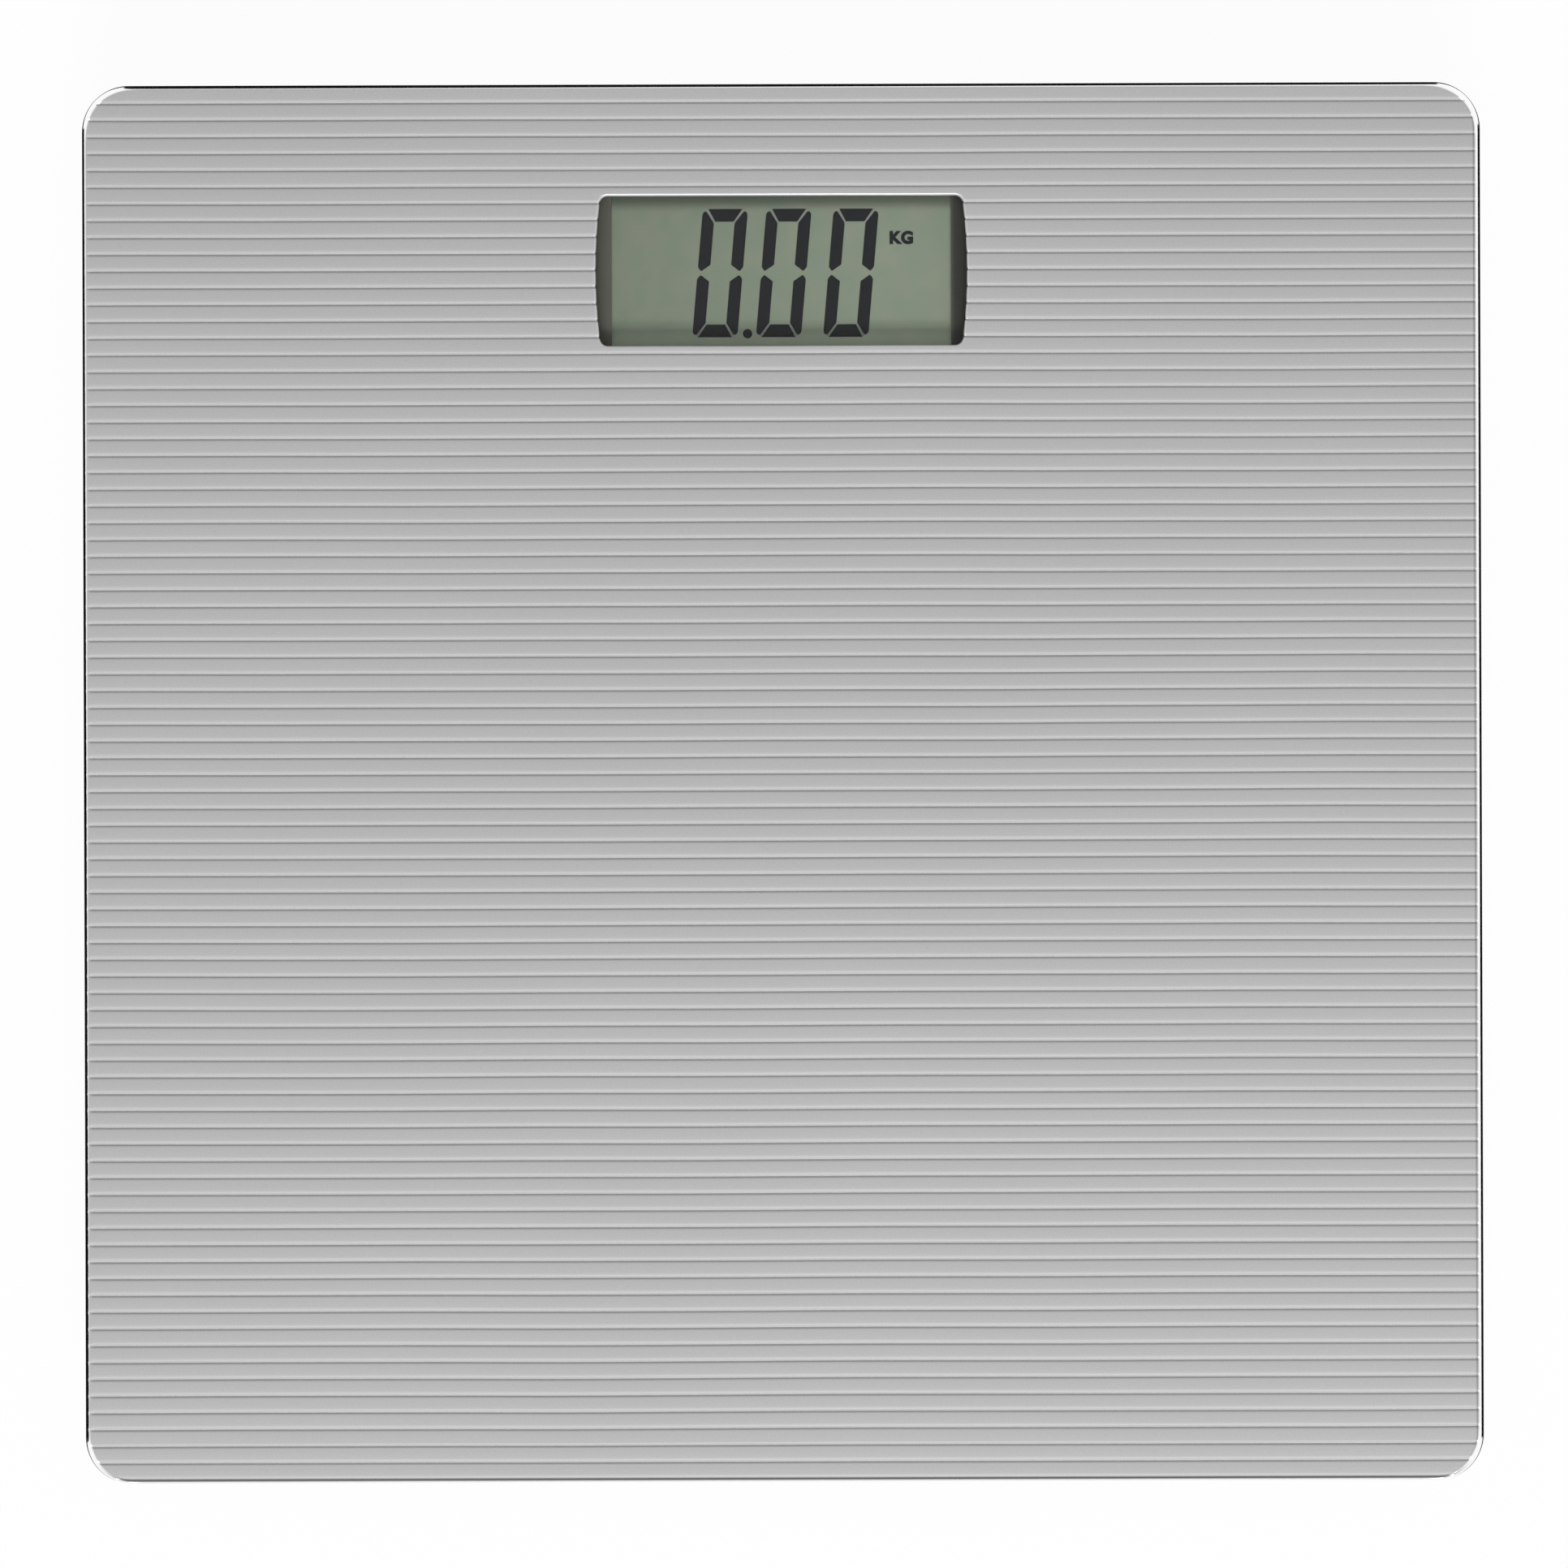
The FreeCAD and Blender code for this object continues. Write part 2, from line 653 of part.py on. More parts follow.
def load_cell_seats(body):
    """At each corner an outer wall that centres the cell, a ledge wall that it bears on, and two ears."""
    walls = new_sketch(body, "seat_walls", x=FOOT_X, y=FOOT_Y, z="cell_height")
    rounded_rectangle(walls, SEAT_OUTSIDE, SEAT_OUTSIDE, "cell_corner + cell_play + seat_wall")
    rounded_rectangle(walls, SEAT_INSIDE, SEAT_INSIDE, "cell_corner + cell_play")
    seat = extrude(body, "Pad", walls, f"{PLATE_BOTTOM} - cell_height")
    ledge = new_sketch(body, "ledge", x=FOOT_X, y=FOOT_Y, z=CELL_TOP)
    rectangle(ledge, "ledge_opening + 2 * ledge_wall", "ledge_opening + 2 * ledge_wall")
    rectangle(ledge, "ledge_opening", "ledge_opening")
    bearing = extrude(body, "Pad", ledge, f"{PLATE_BOTTOM} - {CELL_TOP}")
    ears = new_sketch(body, "ears", x=FOOT_X, y=FOOT_Y, z="cell_height")
    circles(ears, "small_post_radius", [("0", EAR_OFFSET), ("0", f"-{EAR_OFFSET}")])
    lugs = extrude(body, "Pad", ears, f"{PLATE_BOTTOM} - cell_height")
    holes = new_sketch(body, "ear_pilots", x=FOOT_X, y=FOOT_Y, z="cell_height")
    circles(holes, "small_screw_radius + pilot_play", [("0", EAR_OFFSET), ("0", f"-{EAR_OFFSET}")])
    pilots = extrude(body, "Pocket", holes, "small_screw_length")
    mirror_both_ways(body, "seats", [seat, bearing, lugs, pilots])


def tray_screw_places():
    """Two screws beside each corner, repeated by mirroring."""
    return [(REAR_SCREW_X, REAR_SCREW_Y), (SIDE_SCREW_X, "side_screw_offset")]


def frame_screw_posts(body):
    """Long posts that the tray's screws bite into, eight at the sides and one in the middle."""
    pilot_radius = "tray_screw_radius + 2 * pilot_play"
    grip = "tray_screw_length"
    posts = new_sketch(body, "posts", z=TRAY_POST_TOP)
    circles(posts, "frame_post_radius", tray_screw_places())
    columns = extrude(body, "Pad", posts, f"{PLATE_BOTTOM} - {TRAY_POST_TOP}")
    pilots = new_sketch(body, "pilots", z=TRAY_POST_TOP)
    circles(pilots, pilot_radius, tray_screw_places())
    bores = extrude(body, "Pocket", pilots, grip)
    mirror_both_ways(body, "screw_posts", [columns, bores])
    middle = new_sketch(body, "middle_post", z=TRAY_POST_TOP)
    circles(middle, "frame_post_radius")
    extrude(body, "Pad", middle, f"{PLATE_BOTTOM} - {TRAY_POST_TOP}")
    bore = new_sketch(body, "middle_pilot", z=TRAY_POST_TOP)
    circles(bore, pilot_radius)
    extrude(body, "Pocket", bore, grip)


def base_tray():
    """Shallow tray whose flared wall meets the frame inside the cover's skirt."""
    body = new_body("base_tray")
    spread = "(tray_inset - tray_rim_inset)"
    rise = f"({FRAME_BOTTOM} - tray_lift)"
    outer = new_sketch(body, "outer", z="tray_lift")
    rounded_rectangle(outer, "platform_width - 2 * tray_inset", "platform_depth - 2 * tray_inset",
                      "tray_corner")
    shell = extrude(body, "Pad", outer, rise)
    bind(shell, "TaperAngle", f"atan({spread} / {rise})")
    doc.recompute()
    round_off(body, "edge", shell, [flat_face_at(shell, size_of("tray_lift"))], "tray_edge_round")
    inside = f"(tray_inset + tray_wall - {spread} / {rise} * tray_floor)"
    inner = new_sketch(body, "inner", z=FLOOR_TOP)
    rounded_rectangle(inner, f"platform_width - 2 * {inside}", f"platform_depth - 2 * {inside}",
                      "tray_corner - tray_wall")
    room = extrude(body, "Pocket", inner, f"{rise} - tray_floor")
    bind(room, "TaperAngle", f"atan({spread} / {rise})")
    foot_holes(body)
    screw_wells(body)
    battery_port(body)
    button_port(body)
    wire_rests(body)
    label = new_sketch(body, "label", y="-side_screw_offset", z="tray_lift")
    rounded_rectangle(label, "label_width", "label_depth", "window_corner")
    extrude(body, "Pocket", label, "label_recess")
    return keep("base_tray", body)


def foot_holes(body):
    hole = new_sketch(body, "foot_hole", x=FOOT_X, y=FOOT_Y, z="tray_lift")
    circles(hole, "foot_radius + foot_play")
    opening = extrude(body, "Pocket", hole, "tray_floor")
    mirror_both_ways(body, "foot_holes", [opening])


def screw_wells(body):
    """Post with a head recess and a clear hole for each of the nine tray screws."""
    for name, places in (("side", tray_screw_places()), ("middle", [("0", "0")])):
        posts = new_sketch(body, f"{name}_posts", z="tray_lift")
        circles(posts, "tray_post_radius", places)
        columns = extrude(body, "Pad", posts, f"{TRAY_POST_TOP} - tray_lift")
        recess = new_sketch(body, f"{name}_recesses", z="tray_lift")
        circles(recess, "tray_head_radius + 2 * screw_play", places)
        wells = extrude(body, "Pocket", recess, "tray_head_recess")
        holes = new_sketch(body, f"{name}_holes", z="tray_lift + tray_head_recess")
        circles(holes, "tray_screw_radius + screw_play", places)
        bores = extrude(body, "Pocket", holes, "tray_post_floor")
        if name == "side":
            mirror_both_ways(body, "screw_wells", [columns, wells, bores])


def battery_port(body):
    """Raised ring with the bayonet opening that the battery cap turns in."""
    x = "-battery_x"
    seat = new_sketch(body, "cap_seat", x=x, y=DISPLAY_Y, z=FLOOR_TOP)
    circles(seat, "cap_seat_radius")
    extrude(body, "Pad", seat, "cap_seat_height")
    recess = new_sketch(body, "cap_recess", x=x, y=DISPLAY_Y, z="tray_lift")
    circles(recess, "cap_radius + cap_play")
    extrude(body, "Pocket", recess, "cap_flange + cap_axial_play")
    bore = new_sketch(body, "cap_bore", x=x, y=DISPLAY_Y, z=CAP_WEB_BOTTOM)
    circles(bore, "cap_neck + cap_bore_play")
    extrude(body, "Pocket", bore, f"{CAP_WEB_TOP} - {CAP_WEB_BOTTOM}")
    entry = new_sketch(body, "lug_entry", x=x, y=DISPLAY_Y, z=CAP_WEB_BOTTOM, turn="cap_turn")
    round_ended_bar(entry, "cap_neck + cap_lug_reach + cap_bore_play", "cap_lug_width + 2 * cap_bore_play")
    extrude(body, "Pocket", entry, f"{CAP_WEB_TOP} - {CAP_WEB_BOTTOM}")


def button_port(body):
    """Finger dish and hole for the unit button."""
    dish = new_sketch(body, "button_dish", x="button_x", y=DISPLAY_Y, z="tray_lift")
    circles(dish, "button_dish_radius")
    extrude(body, "Pocket", dish, "button_dish")
    hole = new_sketch(body, "button_hole", x="button_x", y=DISPLAY_Y, z="tray_lift + button_dish")
    circles(hole, "button_radius + button_play")
    extrude(body, "Pocket", hole, "tray_floor - button_dish")


def wire_rests(body):
    """Low posts on the tray's floor that carry the load cell wires."""
    height = f"{WIRE_Z} - wire_radius - wire_rest_gap - {FLOOR_TOP}"
    name_number = 0
    for side in (-1, 1):
        for x, y, lengthwise in ((f"{side} * rear_wire_x", f"({FOOT_Y} + {REAR_WIRE_Y}) / 2", True),
                                 (f"{side} * rear_wire_x / 2", REAR_WIRE_Y, False),
                                 (f"{side} * front_wire_x", f"({FRONT_WIRE_Y} - {FOOT_Y}) / 2", True),
                                 (f"{side} * front_wire_x / 2", FRONT_WIRE_Y, False)):
            name_number += 1
            rest = new_sketch(body, f"wire_rest_{name_number}", x=x, y=y, z=FLOOR_TOP)
            if lengthwise:
                rectangle(rest, "wire_rest_width", "wire_rest_length")
            else:
                rectangle(rest, "wire_rest_length", "wire_rest_width")
            extrude(body, "Pad", rest, height)


def foot_puck(corner, x, y):
    """Hollow foot with a retaining flange, spokes and the post that lifts the load cell's tongue."""
    body = new_body(f"foot_{corner}", x, y)
    profile = new_sketch(body, "profile", plane="XZ_Plane")
    seat = f"{PAD_RADIUS} + pad_play"
    floor_top = "(pad_thickness + foot_wall)"
    outline(profile, [("0", "pad_thickness"), (seat, "pad_thickness"), (seat, PUCK_BOTTOM),
                      ("foot_radius", PUCK_BOTTOM), ("foot_radius", FLANGE_BOTTOM),
                      (FLANGE_RADIUS, FLANGE_BOTTOM), (FLANGE_RADIUS, FLANGE_TOP),
                      ("foot_radius - foot_wall", FLANGE_TOP), ("foot_radius - foot_wall", floor_top),
                      ("post_radius", floor_top), ("post_radius", "cell_height"), ("0", "cell_height")])
    revolve(body, profile)
    spoke = new_sketch(body, "spoke", z=floor_top)
    rectangle(spoke, "2 * foot_radius - foot_wall", "grid_rib")
    web = extrude(body, "Pad", spoke, f"{FLANGE_BOTTOM} - {floor_top}")
    turn = body.newObject("PartDesign::PolarPattern", f"{body.Name}_spokes")
    turn.Originals = [web]
    turn.Axis = (origin_item(body, "Z_Axis"), [""])
    turn.Angle = 180
    turn.Mode = "Spacing"
    bind(turn, "Offset", "180 / foot_ribs")
    bind(turn, "Occurrences", "foot_ribs")
    body.Tip = turn
    return keep(f"foot_{corner}", body)


def foot_pad(corner, x, y):
    """Rubber disc with ring grooves in the face that meets the floor."""
    body = new_body(f"foot_pad_{corner}", x, y)
    profile = new_sketch(body, "profile", plane="XZ_Plane")
    points = [("0", "0")]
    for ring in (1, 2, 3):
        points += [(f"{ring} * pad_ring", "0"), (f"{ring} * pad_ring", "ring_groove_depth"),
                   (f"{ring} * pad_ring + ring_groove", "ring_groove_depth"),
                   (f"{ring} * pad_ring + ring_groove", "0")]
    points += [(PAD_RADIUS, "0"), (PAD_RADIUS, "pad_thickness"), ("0", "pad_thickness")]
    outline(profile, points)
    revolve(body, profile)
    return keep(f"foot_pad_{corner}", body)


def load_cell(corner, x, y, turn):
    """Steel plate cell: an outer frame held in its seat and a sprung tongue cut free by a U slot."""
    body = new_body(f"load_cell_{corner}", x, y, turn)
    blank = new_sketch(body, "blank", z="cell_height")
    rounded_rectangle(blank, "cell_side", "cell_side", "cell_corner")
    extrude(body, "Pad", blank, "cell_thickness")
    slot = new_sketch(body, "slot", z="cell_height")
    half = "slot_width / 2"
    root = "slot_length / 2"
    tongue = "tongue_width / 2"
    tip = "tongue_gap - slot_length / 2"
    outline(slot, [(f"-{half}", root), (f"-{half}", f"-{root}"), (half, f"-{root}"), (half, root),
                   (tongue, root), (tongue, tip), (f"-{tongue}", tip), (f"-{tongue}", root)])
    extrude(body, "Pocket", slot, "cell_thickness")
    return keep(f"load_cell_{corner}", body)


def strain_gauge(corner, x, y, turn):
    """Coated gauge bonded under the root of the tongue."""
    body = new_body(f"strain_gauge_{corner}", x, y, turn)
    coat = new_sketch(body, "coat", y="(slot_length - gauge_length) / 2", z="cell_height - gauge_thickness")
    rounded_rectangle(coat, "gauge_width", "gauge_length", "gauge_thickness")
    extrude(body, "Pad", coat, "gauge_thickness")
    return keep(f"strain_gauge_{corner}", body)


def cell_retainer(corner, x, y):
    """Plate that closes the seat under the cell, held by two screws in its ears."""
    body = new_body(f"cell_retainer_{corner}", x, y)
    plate = new_sketch(body, "plate", z=RETAINER_BOTTOM)
    rounded_rectangle(plate, SEAT_OUTSIDE, SEAT_OUTSIDE, "cell_corner + cell_play + seat_wall")
    extrude(body, "Pad", plate, "retainer_thickness")
    ears = new_sketch(body, "ears", z=RETAINER_BOTTOM)
    rounded_rectangle(ears, "ear_width", f"2 * {EAR_OFFSET} + ear_width", "ear_width / 2 - screw_play")
    extrude(body, "Pad", ears, "retainer_thickness")
    opening = new_sketch(body, "opening", z=RETAINER_BOTTOM)
    rounded_rectangle(opening, "retainer_opening", "retainer_opening", "cell_corner")
    extrude(body, "Pocket", opening, "retainer_thickness")
    holes = new_sketch(body, "holes", z=RETAINER_BOTTOM)
    circles(holes, "small_screw_radius + screw_play", [("0", EAR_OFFSET), ("0", f"-{EAR_OFFSET}")])
    extrude(body, "Pocket", holes, "retainer_thickness")
    return keep(f"cell_retainer_{corner}", body)


def display_lens():
    body = new_body("display_lens", "0", DISPLAY_Y)
    pane = new_sketch(body, "pane", z=f"{UNDER_COVER} - tape_thickness - lens_thickness")
    rounded_rectangle(pane, LENS_WIDTH, LENS_DEPTH, "window_corner")
    extrude(body, "Pad", pane, "lens_thickness")
    return keep("display_lens", body)


def lens_tape():
    """Adhesive ring that bonds the lens under the cover, just outside the window."""
    body = new_body("lens_tape", "0", DISPLAY_Y)
    ring = new_sketch(body, "ring", z=f"{UNDER_COVER} - tape_thickness")
    rounded_rectangle(ring, LENS_WIDTH, LENS_DEPTH, "window_corner")
    rounded_rectangle(ring, "window_width + 2 * window_bow + 2 * tape_reveal",
                      "window_depth + 2 * tape_reveal", "window_corner")
    extrude(body, "Pad", ring, "tape_thickness")
    return keep("lens_tape", body)


def lcd_panel():
    panel = block("lcd_panel", "0", DISPLAY_Y, PANEL_BOTTOM,
                  "panel_width", "panel_depth", "panel_thickness")
    return keep("lcd_panel", panel)


def lcd_frame():
    """Dark bezel that holds the panel down on the board and masks its two ends."""
    body = new_body("lcd_frame", "0", DISPLAY_Y)
    outer = new_sketch(body, "outer", z="board_top")
    rounded_rectangle(outer, BEZEL_WIDTH, BEZEL_DEPTH, "bezel_wall")
    extrude(body, "Pad", outer, f"{BEZEL_TOP} - board_top")
    pocket = new_sketch(body, "pocket", z="board_top")
    rectangle(pocket, "panel_width + 4 * bezel_play", "panel_depth + 4 * bezel_play")
    extrude(body, "Pocket", pocket, f"{BEZEL_INSIDE_TOP} - board_top")
    view = new_sketch(body, "view", z=BEZEL_INSIDE_TOP)
    rectangle(view, "bezel_view_width", "bezel_view_depth")
    extrude(body, "Pocket", view, "bezel_lip")
    return keep("lcd_frame", body)


def zebra_strip(end, sign):
    """Soft connector between the board's contacts and the panel's edge."""
    reach = "(panel_depth / 2 - zebra_width)"
    strip = block(f"zebra_strip_{end}", "0", f"{DISPLAY_Y} + {sign} * {reach}", "board_top",
                  "zebra_length", "zebra_width", "zebra_height")
    return keep(f"zebra_strip_{end}", strip)


def main_board():
    body = new_body("main_board", "0", DISPLAY_Y)
    plate = new_sketch(body, "plate", z=BOARD_BOTTOM)
    rounded_rectangle(plate, "board_width", "board_depth", "bezel_wall")
    extrude(body, "Pad", plate, "board_thickness")
    holes = new_sketch(body, "holes", z=BOARD_BOTTOM)
    circles(holes, "small_screw_radius + screw_play", four_ways(BOARD_SCREW_X, BOARD_SCREW_Y))
    extrude(body, "Pocket", holes, "board_thickness")
    return keep("main_board", body)


def chip_coating():
    """Low dome of black resin over the bare chip, flat against the board."""
    dome = "((coating_radius^2 + coating_height^2) / (2 * coating_height))"
    ball = solid("Sphere", "coating_ball", "0", DISPLAY_Y, f"{BOARD_BOTTOM} + {dome} - coating_height",
                 Radius=dome)
    room = solid("Cylinder", "coating_room", "0", DISPLAY_Y, f"{BOARD_BOTTOM} - 2 * coating_height",
                 Radius="coating_radius + 1", Height="2 * coating_height")
    shared = doc.addObject("Part::Common", "chip_coating")
    shared.Base = room
    shared.Tool = ball
    return keep("chip_coating", shared)


def board_components():
    """Small chip resistors and capacitors in two short rows beside the resin dome."""
    pieces = []
    for column in range(3):
        for row, side in enumerate((-1, 1)):
            x = f"coating_radius + (2 + {2 * column}) * chip_size"
            y = f"{DISPLAY_Y} + {side} * 2 * chip_size"
            piece = block(f"chip_{row}_{column}", x, y, f"{BOARD_BOTTOM} - chip_height",
                          "chip_size", "chip_size / 2", "chip_height")
            pieces.append(piece)
    return keep("board_components", group("board_components", pieces))


def header_x(corner):
    """Middle of the header that a corner's wires run to."""
    side_x, side_y = CORNERS[corner]
    return f"{side_x} * {1 if side_y > 0 else 0} * header_pitch + {side_x} * header_pitch / 2"


def cell_headers():
    """Four sockets under the board's front edge, one for each load cell."""
    pieces = [block(f"header_{corner}", header_x(corner),
                    f"{BOARD_FRONT} + header_inset + header_depth / 2",
                    f"{WIRE_Z} - 2 * wire_radius", "header_width", "header_depth",
                    f"{BOARD_BOTTOM} - {WIRE_Z} + 2 * wire_radius") for corner in CORNERS]
    return keep("cell_headers", group("cell_headers", pieces))


def tact_switch():
    body = block("switch_body", "button_x", DISPLAY_Y, SWITCH_BOTTOM,
                 "switch_side", "switch_side", "switch_height")
    bore = solid("Cylinder", "switch_bore", "button_x", DISPLAY_Y, SWITCH_BOTTOM,
                 Radius="plunger_radius + plunger_play", Height="switch_height / 2 + 2 * button_travel")
    return keep("tact_switch", cut("tact_switch", body, bore))


def tact_plunger():
    plunger = solid("Cylinder", "tact_plunger", "button_x", DISPLAY_Y, f"{SWITCH_BOTTOM} - plunger_reach",
                    Radius="plunger_radius", Height="plunger_reach + switch_height / 2")
    return keep("tact_plunger", plunger)


def unit_button():
    """Round cap in the tray's dish, its flange inside, its stem against the switch."""
    body = new_body("unit_button", "button_x", DISPLAY_Y)
    face = "tray_lift + button_recess"
    flange = f"({FLOOR_TOP} + button_flange_gap)"
    flange_top = f"({flange} + button_flange_thickness)"
    tip = f"{SWITCH_BOTTOM} - plunger_reach"
    profile = new_sketch(body, "profile", plane="XZ_Plane")
    outline(profile, [("0", face), ("button_radius", face), ("button_radius", flange),
                      ("button_flange", flange), ("button_flange", flange_top),
                      ("button_stem", flange_top), ("button_stem", tip), ("0", tip)])
    revolve(body, profile)
    return keep("unit_button", body)


def battery_holder():
    """Open-bottomed holder under the board, with a slot for the side contact."""
    x = "-battery_x"
    inside = "(battery_radius + battery_play)"
    height = f"{BOARD_BOTTOM} - {BATTERY_BOTTOM}"
    shell = solid("Cylinder", "holder_shell", x, DISPLAY_Y, BATTERY_BOTTOM,
                  Radius=f"{inside} + holder_wall", Height=height)
    room = solid("Cylinder", "holder_room", x, DISPLAY_Y, BATTERY_BOTTOM, Radius=inside, Height=height)
    slot = block("holder_slot", f"{x} - {inside}", DISPLAY_Y, BATTERY_BOTTOM,
                 "2 * holder_wall", "2 * battery_thickness + battery_play", height)
    ring = cut("holder_ring", shell, room)
    return keep("battery_holder", cut("battery_holder", ring, slot))


def battery_contacts():
    """Top strip against the battery's face, and a side strip against its rim."""
    x = "-battery_x"
    strip = block("contact_strip", x, DISPLAY_Y, BATTERY_TOP,
                  "battery_radius", "battery_thickness", "contact_strip")
    legs = [block(f"contact_leg_{number}", f"{x} + {side} * battery_radius / 3", DISPLAY_Y,
                  f"{BATTERY_TOP} + contact_strip", "battery_thickness / 2", "battery_thickness",
                  "contact_space - contact_strip") for number, side in enumerate((-1, 1))]
    keep("battery_contact_negative", join("battery_contact_negative", [strip] + legs))
    rim_x = f"{x} - battery_radius - (battery_play + contact_strip) / 2"
    rim = block("battery_contact_positive", rim_x, DISPLAY_Y, BATTERY_BOTTOM,
                "contact_strip", "2 * battery_thickness", f"{BOARD_BOTTOM} - {BATTERY_BOTTOM}")
    return keep("battery_contact_positive", rim)


def coin_battery():
    """Coin cell: the full can below, and a slightly smaller cap against the top contact."""
    x = "-battery_x"
    can = solid("Cylinder", "battery_can", x, DISPLAY_Y, BATTERY_BOTTOM,
                Radius="battery_radius", Height="battery_thickness - contact_strip")
    cap = solid("Cylinder", "battery_face", x, DISPLAY_Y, BATTERY_BOTTOM,
                Radius="battery_radius - holder_wall", Height="battery_thickness")
    return keep("coin_battery", join("coin_battery", [can, cap]))


def battery_cap():
    """Coin-slot cap: flange in the recess, neck through the bore, two lugs over the web."""
    body = new_body("battery_cap", "-battery_x", DISPLAY_Y)
    neck_top = f"({LUG_BOTTOM} + cap_lug_height)"
    flange_top = "(tray_lift + cap_flange)"
    disc = new_sketch(body, "disc", z="tray_lift")
    circles(disc, "cap_radius")
    extrude(body, "Pad", disc, "cap_flange")
    neck = new_sketch(body, "neck", z=flange_top)
    circles(neck, "cap_neck")
    circles(neck, "cap_neck - cap_neck_wall")
    extrude(body, "Pad", neck, f"{neck_top} - {flange_top}")
    lugs = new_sketch(body, "lugs", z=LUG_BOTTOM)
    round_ended_bar(lugs, "cap_neck + cap_lug_reach", "cap_lug_width")
    extrude(body, "Pad", lugs, "cap_lug_height")
    bar = new_sketch(body, "bar", z=flange_top)
    rectangle(bar, "coin_slot_length + coin_slot_width", "coin_slot_bar")
    extrude(body, "Pad", bar, f"{LUG_BOTTOM} - {flange_top}")
    pusher = new_sketch(body, "pusher", z=LUG_BOTTOM)
    circles(pusher, "post_radius")
    extrude(body, "Pad", pusher, f"{BATTERY_BOTTOM} - {LUG_BOTTOM} - battery_play")
    slot = new_sketch(body, "slot", z="tray_lift")
    rectangle(slot, "coin_slot_length", "coin_slot_width")
    extrude(body, "Pocket", slot, "coin_slot_depth")
    return keep("battery_cap", body)


def screw_shape(shaft, length, head, head_height):
    """Pan-head screw with a cross recess, its head below its shaft, the head's seat at z = 0."""
    width = size_of("drive_width")
    shank = Part.makeCylinder(shaft, length)
    pan = Part.makeCylinder(head, head_height, Vector(0, 0, -head_height))
    rim = [edge for edge in pan.Edges if edge.BoundBox.ZMax < 0.1 - head_height]
    pan = pan.makeFillet(head_height / 2, rim)
    depth = head_height * 0.6
    for angle in (0, 90):
        wing = Part.makeBox(head * 1.2, width, depth, Vector(-head * 0.6, -width / 2, -head_height))
        wing.rotate(Vector(), Vector(0, 0, 1), angle)
        pan = pan.cut(wing)
    return pan.fuse(shank).removeSplitter()


def screw_group(label, screw, places, z):
    """Several separate screws in one node."""
    spots = [Vector(size_of(x), size_of(y), size_of(z)) for x, y in places]
    item = doc.addObject("Part::Feature", label)
    item.Shape = Part.makeCompound([screw.translated(spot) for spot in spots])
    return keep(label, item)


def screws():
    """Nine tray screws, four board screws, and two for each of the four retainers."""
    tray_screw = screw_shape(size_of("tray_screw_radius"), size_of("tray_screw_length"),
                             size_of("tray_head_radius"), size_of("tray_head_height"))
    corners = [(side_x, side_y) for side_x in (-1, 1) for side_y in (-1, 1)]
    places = [(f"{sx} * {x}", f"{sy} * {y}") for x, y in tray_screw_places() for sx, sy in corners]
    screw_group("tray_screws", tray_screw, places + [("0", "0")], "tray_lift + tray_head_recess")
    small_screw = screw_shape(size_of("small_screw_radius"), size_of("small_screw_length"),
                              size_of("small_head_radius"), size_of("small_head_height"))
    places = [(f"{sx} * {BOARD_SCREW_X}", f"{DISPLAY_Y} + {sy} * {BOARD_SCREW_Y}") for sx, sy in corners]
    screw_group("board_screws", small_screw, places, BOARD_BOTTOM)
    places = [(f"{sx} * {FOOT_X}", f"{sy} * {FOOT_Y} + {end} * {EAR_OFFSET}")
              for sx, sy in corners for end in (-1, 1)]
    screw_group("retainer_screws", small_screw, places, RETAINER_BOTTOM)


def wire_route(corner):
    """Middle line of a corner's wires: off the gauge, down under the retainer, then along the tray."""
    side_x, side_y = CORNERS[corner]
    foot_x = side_x * size_of(FOOT_X)
    foot_y = side_y * size_of(FOOT_Y)
    start_x = foot_x - side_x * size_of("slot_length / 2")
    drop_x = start_x - side_x * 1.6
    level_x = foot_x - side_x * (size_of("retainer_opening / 2") - 0.4)
    gauge_z = size_of("cell_height") - size_of("wire_radius") - 0.05
    low_z = size_of(WIRE_Z)
    lane = "rear" if side_y > 0 else "front"
    lane_x = side_x * size_of(f"{lane}_wire_x")
    lane_y = size_of(REAR_WIRE_Y if side_y > 0 else FRONT_WIRE_Y)
    end_x = size_of(header_x(corner))
    end_y = size_of(f"{BOARD_FRONT} + header_inset")
    return [Vector(start_x, foot_y, gauge_z), Vector(drop_x, foot_y, gauge_z),
            Vector(level_x, foot_y, low_z), Vector(lane_x, foot_y, low_z),
            Vector(lane_x, lane_y, low_z), Vector(end_x, lane_y, low_z), Vector(end_x, end_y, low_z)]


def beside(points, distance):
    """The same route moved sideways in plan by a distance, its corners kept square."""
    moved = []
    for index, point in enumerate(points):
        before = points[max(index - 1, 0)]
        after = points[min(index + 1, len(points) - 1)]
        normals = []
        for start, end in ((before, point), (point, after)):
            run = Vector(end.x - start.x, end.y - start.y, 0)
            if run.Length > 1e-9:
                run.normalize()
                normals.append(Vector(-run.y, run.x, 0))
        turned = len(normals) == 2 and abs(normals[0].dot(normals[1])) < 0.5
        shift = normals[0] + normals[1] if turned else normals[0]
        moved.append(point + shift * distance)
    return moved


